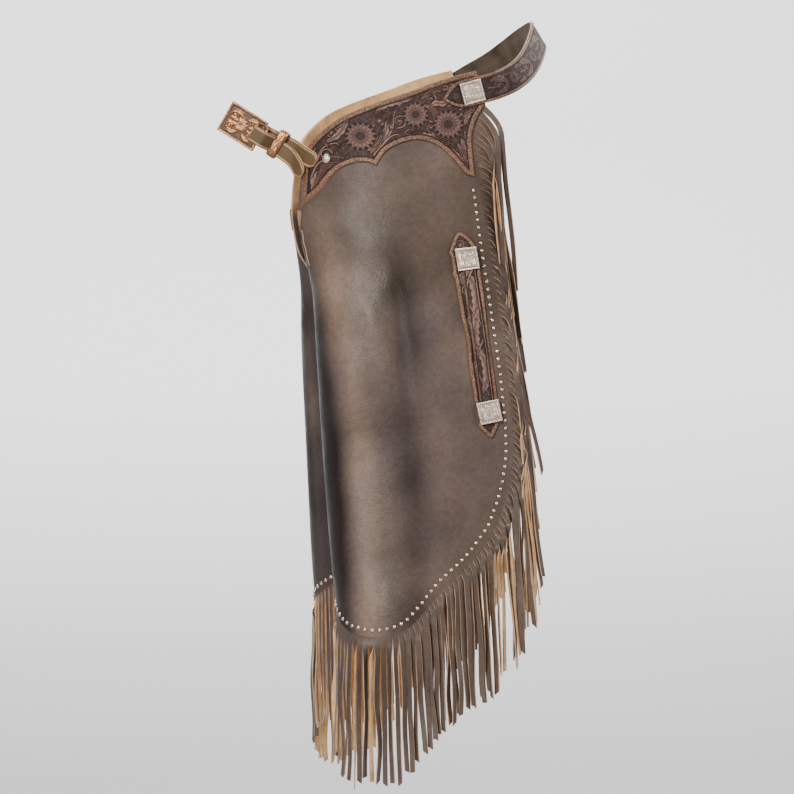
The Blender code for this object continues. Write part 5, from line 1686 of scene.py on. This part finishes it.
def fringe_mesh(name, side, seed):
    """All strands of one leg as one mesh."""
    rng = np.random.default_rng(seed)
    keep = (CUT_LINE[:, 1] < 0.031) & (CUT_LINE[:, 0] > -0.112)
    line = CUT_LINE[keep] + CUT_OUT[keep] * CUT_AMOUNT[keep][:, None]
    data = np.column_stack([line, CUT_OUT[keep]])
    total = lengths(line)
    points, faces, picks = [], [], []
    s, k = 3.0 * MM, 0
    group_turn, group_lean, group_left, group_flip, group_side = 0.0, 0.0, 0, False, 0.0
    while s < total[-1] - 3.0 * MM:
        q, z, out_q, out_z = [float(np.interp(s, total, data[:, c])) for c in range(4)]
        upright = abs(out_q) / math.hypot(out_q, out_z)
        if group_left <= 0:
            group_left = int(rng.integers(2, 7))
            group_turn = float(rng.normal(0.0, 1.0))
            group_lean = float(rng.normal(0.0, 1.0))
            group_flip = bool(rng.random() < 0.4 * upright - 0.16)
            group_side = 34.0 if rng.random() < 0.55 else -44.0
            if group_flip and upright < 0.75:
                group_left = min(group_left, 2)
        group_left -= 1
        length, lean, bend, layer, spread = [
            float(np.interp(z / MM, STRAND_TABLE[:, 0], STRAND_TABLE[:, c])) for c in range(1, 6)
        ]
        length *= MM * (1.0 + float(rng.normal(0.0, 0.022)) + 0.015 * group_turn)
        turn = group_side * upright + group_turn * 0.6 * spread + float(rng.normal(0.0, 0.6 * spread))
        pale = any(a < q < b and c < z / MM < d for a, b, c, d in PALE_STRANDS)
        if group_flip or pale:
            turn = float(rng.uniform(95.0, 150.0))
        lean += (0.008 + 0.016 * upright) * group_lean + float(rng.normal(0.0, 0.008 + 0.014 * upright))
        bend *= MM * float(rng.uniform(0.85, 1.25))
        wobble = (
            float(rng.uniform(0.4, 2.4)) * MM,
            float(rng.uniform(0, 6.3)),
            float(rng.uniform(-22, 22)),
            float(rng.uniform(0, 6.3)),
            float(rng.uniform(-0.9, 0.9)),
        )
        layer = (layer + (0.0, 4.0, -4.0, 2.0)[k % 4] * upright**2 + float(rng.uniform(-0.9, 0.9))) * MM
        width = STRAND_WIDTH * float(rng.uniform(0.93, 1.03))
        rings, _ = strand(q, z, out_q, out_z, length, lean, bend, turn, wobble, layer, width)
        start = len(points)
        points.extend(rings.reshape(-1, 3).tolist())
        for r in range(len(rings) - 1):
            a, b = start + 4 * r, start + 4 * (r + 1)
            for corner, pick in ((0, 1), (1, 2), (2, 0), (3, 2)):
                n = (corner + 1) % 4
                faces.append((a + corner, a + n, b + n, b + corner))
                picks.append(pick)
        end = start + 4 * (len(rings) - 1)
        faces.append((start + 3, start + 2, start + 1, start))
        faces.append((end, end + 1, end + 2, end + 3))
        picks += [2, 2]
        s += HEM_PITCH + (SIDE_PITCH - HEM_PITCH) * upright
        k += 1
    if side > 0:
        faces = [tuple(reversed(face)) for face in faces]
    made = make_mesh(name, flip(np.array(points), side), faces, (LEATHER, FLESH, CUT_EDGE), picks)
    return made, k


fringes = {}
for label, side in SIDES:
    fringes[label], strands = fringe_mesh(f"fringe_strands_{label}", side, 7 if side < 0 else 23)
    finish_piece(fringes[label], "oiled_leather", f"fringe_{label}")
print(strands, "strands on each leg")

# %% [markdown]
# ## Studs and stitches
# The dome studs and the stitches are repeated with Geometry Nodes and then turned into plain meshes.


# %% Repeating group
def repeat_group(name, finish, segments, rings):
    """A node group that puts a rounded shape on every point, turned by the point's `facing` and `heading`."""
    group = bpy.data.node_groups.new(name, "GeometryNodeTree")
    group.interface.new_socket("Geometry", in_out="INPUT", socket_type="NodeSocketGeometry")
    for size_name in ("Length", "Width", "Height"):
        group.interface.new_socket(size_name, in_out="INPUT", socket_type="NodeSocketFloat")
    group.interface.new_socket("Geometry", in_out="OUTPUT", socket_type="NodeSocketGeometry")
    nodes, links = group.nodes, group.links
    entry, leave = nodes.new("NodeGroupInput"), nodes.new("NodeGroupOutput")
    body = nodes.new("GeometryNodeMeshUVSphere")
    body.inputs["Segments"].default_value = segments
    body.inputs["Rings"].default_value = rings
    body.inputs["Radius"].default_value = 0.5
    size = nodes.new("ShaderNodeCombineXYZ")
    for axis, size_name in zip("XYZ", ("Length", "Width", "Height")):
        links.new(entry.outputs[size_name], size.inputs[axis])
    scale = nodes.new("GeometryNodeTransform")
    links.new(size.outputs["Vector"], scale.inputs["Scale"])
    links.new(body.outputs["Mesh"], scale.inputs["Geometry"])
    facing = nodes.new("GeometryNodeInputNamedAttribute")
    facing.data_type = "FLOAT_VECTOR"
    facing.inputs["Name"].default_value = "facing"
    heading = nodes.new("GeometryNodeInputNamedAttribute")
    heading.data_type = "FLOAT_VECTOR"
    heading.inputs["Name"].default_value = "heading"
    stand = nodes.new("FunctionNodeAlignRotationToVector")
    stand.axis = "Z"
    links.new(facing.outputs["Attribute"], stand.inputs["Vector"])
    swing = nodes.new("FunctionNodeAlignRotationToVector")
    swing.axis = "X"
    swing.pivot_axis = "Z"
    links.new(stand.outputs["Rotation"], swing.inputs["Rotation"])
    links.new(heading.outputs["Attribute"], swing.inputs["Vector"])
    put = nodes.new("GeometryNodeInstanceOnPoints")
    links.new(entry.outputs["Geometry"], put.inputs["Points"])
    links.new(scale.outputs["Geometry"], put.inputs["Instance"])
    links.new(swing.outputs["Rotation"], put.inputs["Rotation"])
    real = nodes.new("GeometryNodeRealizeInstances")
    links.new(put.outputs["Instances"], real.inputs["Geometry"])
    smooth = nodes.new("GeometryNodeSetShadeSmooth")
    links.new(real.outputs["Geometry"], smooth.inputs["Geometry"])
    coat = nodes.new("GeometryNodeSetMaterial")
    coat.inputs["Material"].default_value = finish
    links.new(smooth.outputs["Geometry"], coat.inputs["Geometry"])
    links.new(coat.outputs["Geometry"], leave.inputs["Geometry"])
    return group


def repeated(name, points, facing, heading, group, size, side):
    """One plain mesh of the group's shape, in the given length, width and height, on every point."""
    mesh = bpy.data.meshes.new(name + "_points")
    mesh.from_pydata(flip(points, side).tolist(), [], [])
    for key, vectors in (("facing", facing), ("heading", heading)):
        layer = mesh.attributes.new(key, "FLOAT_VECTOR", "POINT")
        layer.data.foreach_set("vector", flip(vectors, side).ravel().astype(np.float32))
    thing = bpy.data.objects.new(name, mesh)
    bpy.context.scene.collection.objects.link(thing)
    repeat = thing.modifiers.new("repeat", "NODES")
    repeat.node_group = group
    for socket in group.interface.items_tree:
        if socket.name in size:
            repeat[socket.identifier] = size[socket.name] * MM
    bpy.context.view_layer.update()
    ready = thing.evaluated_get(bpy.context.evaluated_depsgraph_get())
    plain = bpy.data.meshes.new_from_object(ready)
    plain.name = name
    thing.modifiers.remove(repeat)
    thing.data = plain
    bright = plain.attributes.new("relief", "FLOAT", "POINT")
    bright.data.foreach_set("value", np.full(len(plain.vertices), 0.8, dtype=np.float32))
    return thing


STUD_GROUP = repeat_group("dome_studs", STUD, 14, 8)
STITCH_GROUP = repeat_group("stitches", THREAD, 6, 5)
STUD_SIZE = {"Length": 5.6, "Width": 5.6, "Height": 4.4}
STITCH_SIZE = {"Length": 2.5, "Width": 0.64, "Height": 0.6}
print("repeating groups ready")


# %% Studs
def on_surface(places, lift):
    """Points, normals and headings along a line of places on the leg."""
    q, z = places[:, 0], places[:, 1]
    points = leg_place(q, z, np.full(len(q), lift))
    return points, smooth_normal(q, z), unit(np.gradient(points, axis=0))


STUD_INSET, STUD_PITCH = 5.6 * MM, 9.5 * MM
keep = (CUT_LINE[:, 1] < -0.068) & (CUT_LINE[:, 0] > -0.112)
stud_line = CUT_LINE[keep] - CUT_OUT[keep] * STUD_INSET
stud_total = lengths(stud_line)[-1]
stud_places = along(stud_line, np.arange(0.0, stud_total, STUD_PITCH))
points, facing, heading = on_surface(stud_places, LEG_THICK)
studs = {}
for label, side in SIDES:
    studs[label] = repeated(f"studs_{label}", points, facing, heading, STUD_GROUP, STUD_SIZE, side)
    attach(studs[label], "root")
print(len(points), "studs on each leg")


# %% Stitches
def stitch_places(line, inset, pitch=3.4):
    """Places of the stitches inside an outline of q and z."""
    way = np.gradient(line, axis=0)
    aside = unit(np.column_stack([-way[:, 1], way[:, 0]]))
    return along(line + aside * inset * MM, np.arange(2.0 * MM, lengths(line)[-1] - 2.0 * MM, pitch * MM))


rows = [
    (stitch_places(even_points(lower, 500), 1.6), YOKE_LIFT + YOKE_THICK - 0.3 * MM),
    (stitch_places(even_points(TOP, 300), -1.8), YOKE_LIFT + YOKE_THICK - 0.3 * MM),
    (stitch_places(even_points(edge_q(rear_rows), 200), -1.8), YOKE_LIFT + YOKE_THICK - 0.3 * MM),
]
parts = [on_surface(places, lift) for places, lift in rows]
points, facing, heading = [np.concatenate([part[k] for part in parts]) for k in range(3)]
for label, side in SIDES:
    made = repeated(f"yoke_stitches_{label}", points, facing, heading, STITCH_GROUP, STITCH_SIZE, side)
    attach(made, "root")
print(len(points), "stitches on each yoke")

# %% Front edge lacing
LACE = (
    # q, z
    (3.5, -113),
    (2.2, -121),
    (4.2, -130),
    (2.6, -139),
    (5.0, -148),
    (4.2, -158),
    (6.4, -168),
)
table = smooth_rows(LACE, 8) * MM
points, facing, heading = on_surface(even_points(table, 30), LEG_THICK)
side_way = np.cross(facing, heading)
width = (0.9 * MM * (1.0 - 0.5 * np.linspace(0, 1, 30)))[:, None, None]
strip = points[:, None, :] + side_way[:, None, :] * np.linspace(-1, 1, 4)[None, :, None] * width
raised = strip + facing[:, None, :] * (0.9 * MM * np.array([0.5, 1.0, 1.0, 0.5]))[None, :, None]
for label, side in SIDES:
    made = shell(f"front_lace_{label}", strip, raised, (CUT_EDGE, CUT_EDGE, CUT_EDGE), side)
    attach(made, "root")
print("front edge done")

# %% [markdown]
# ## Size of the scene
# The box round every shown piece, with the backdrop left out.

low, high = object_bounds()
print("scene box", np.round(low, 3).tolist(), np.round(high, 3).tolist())
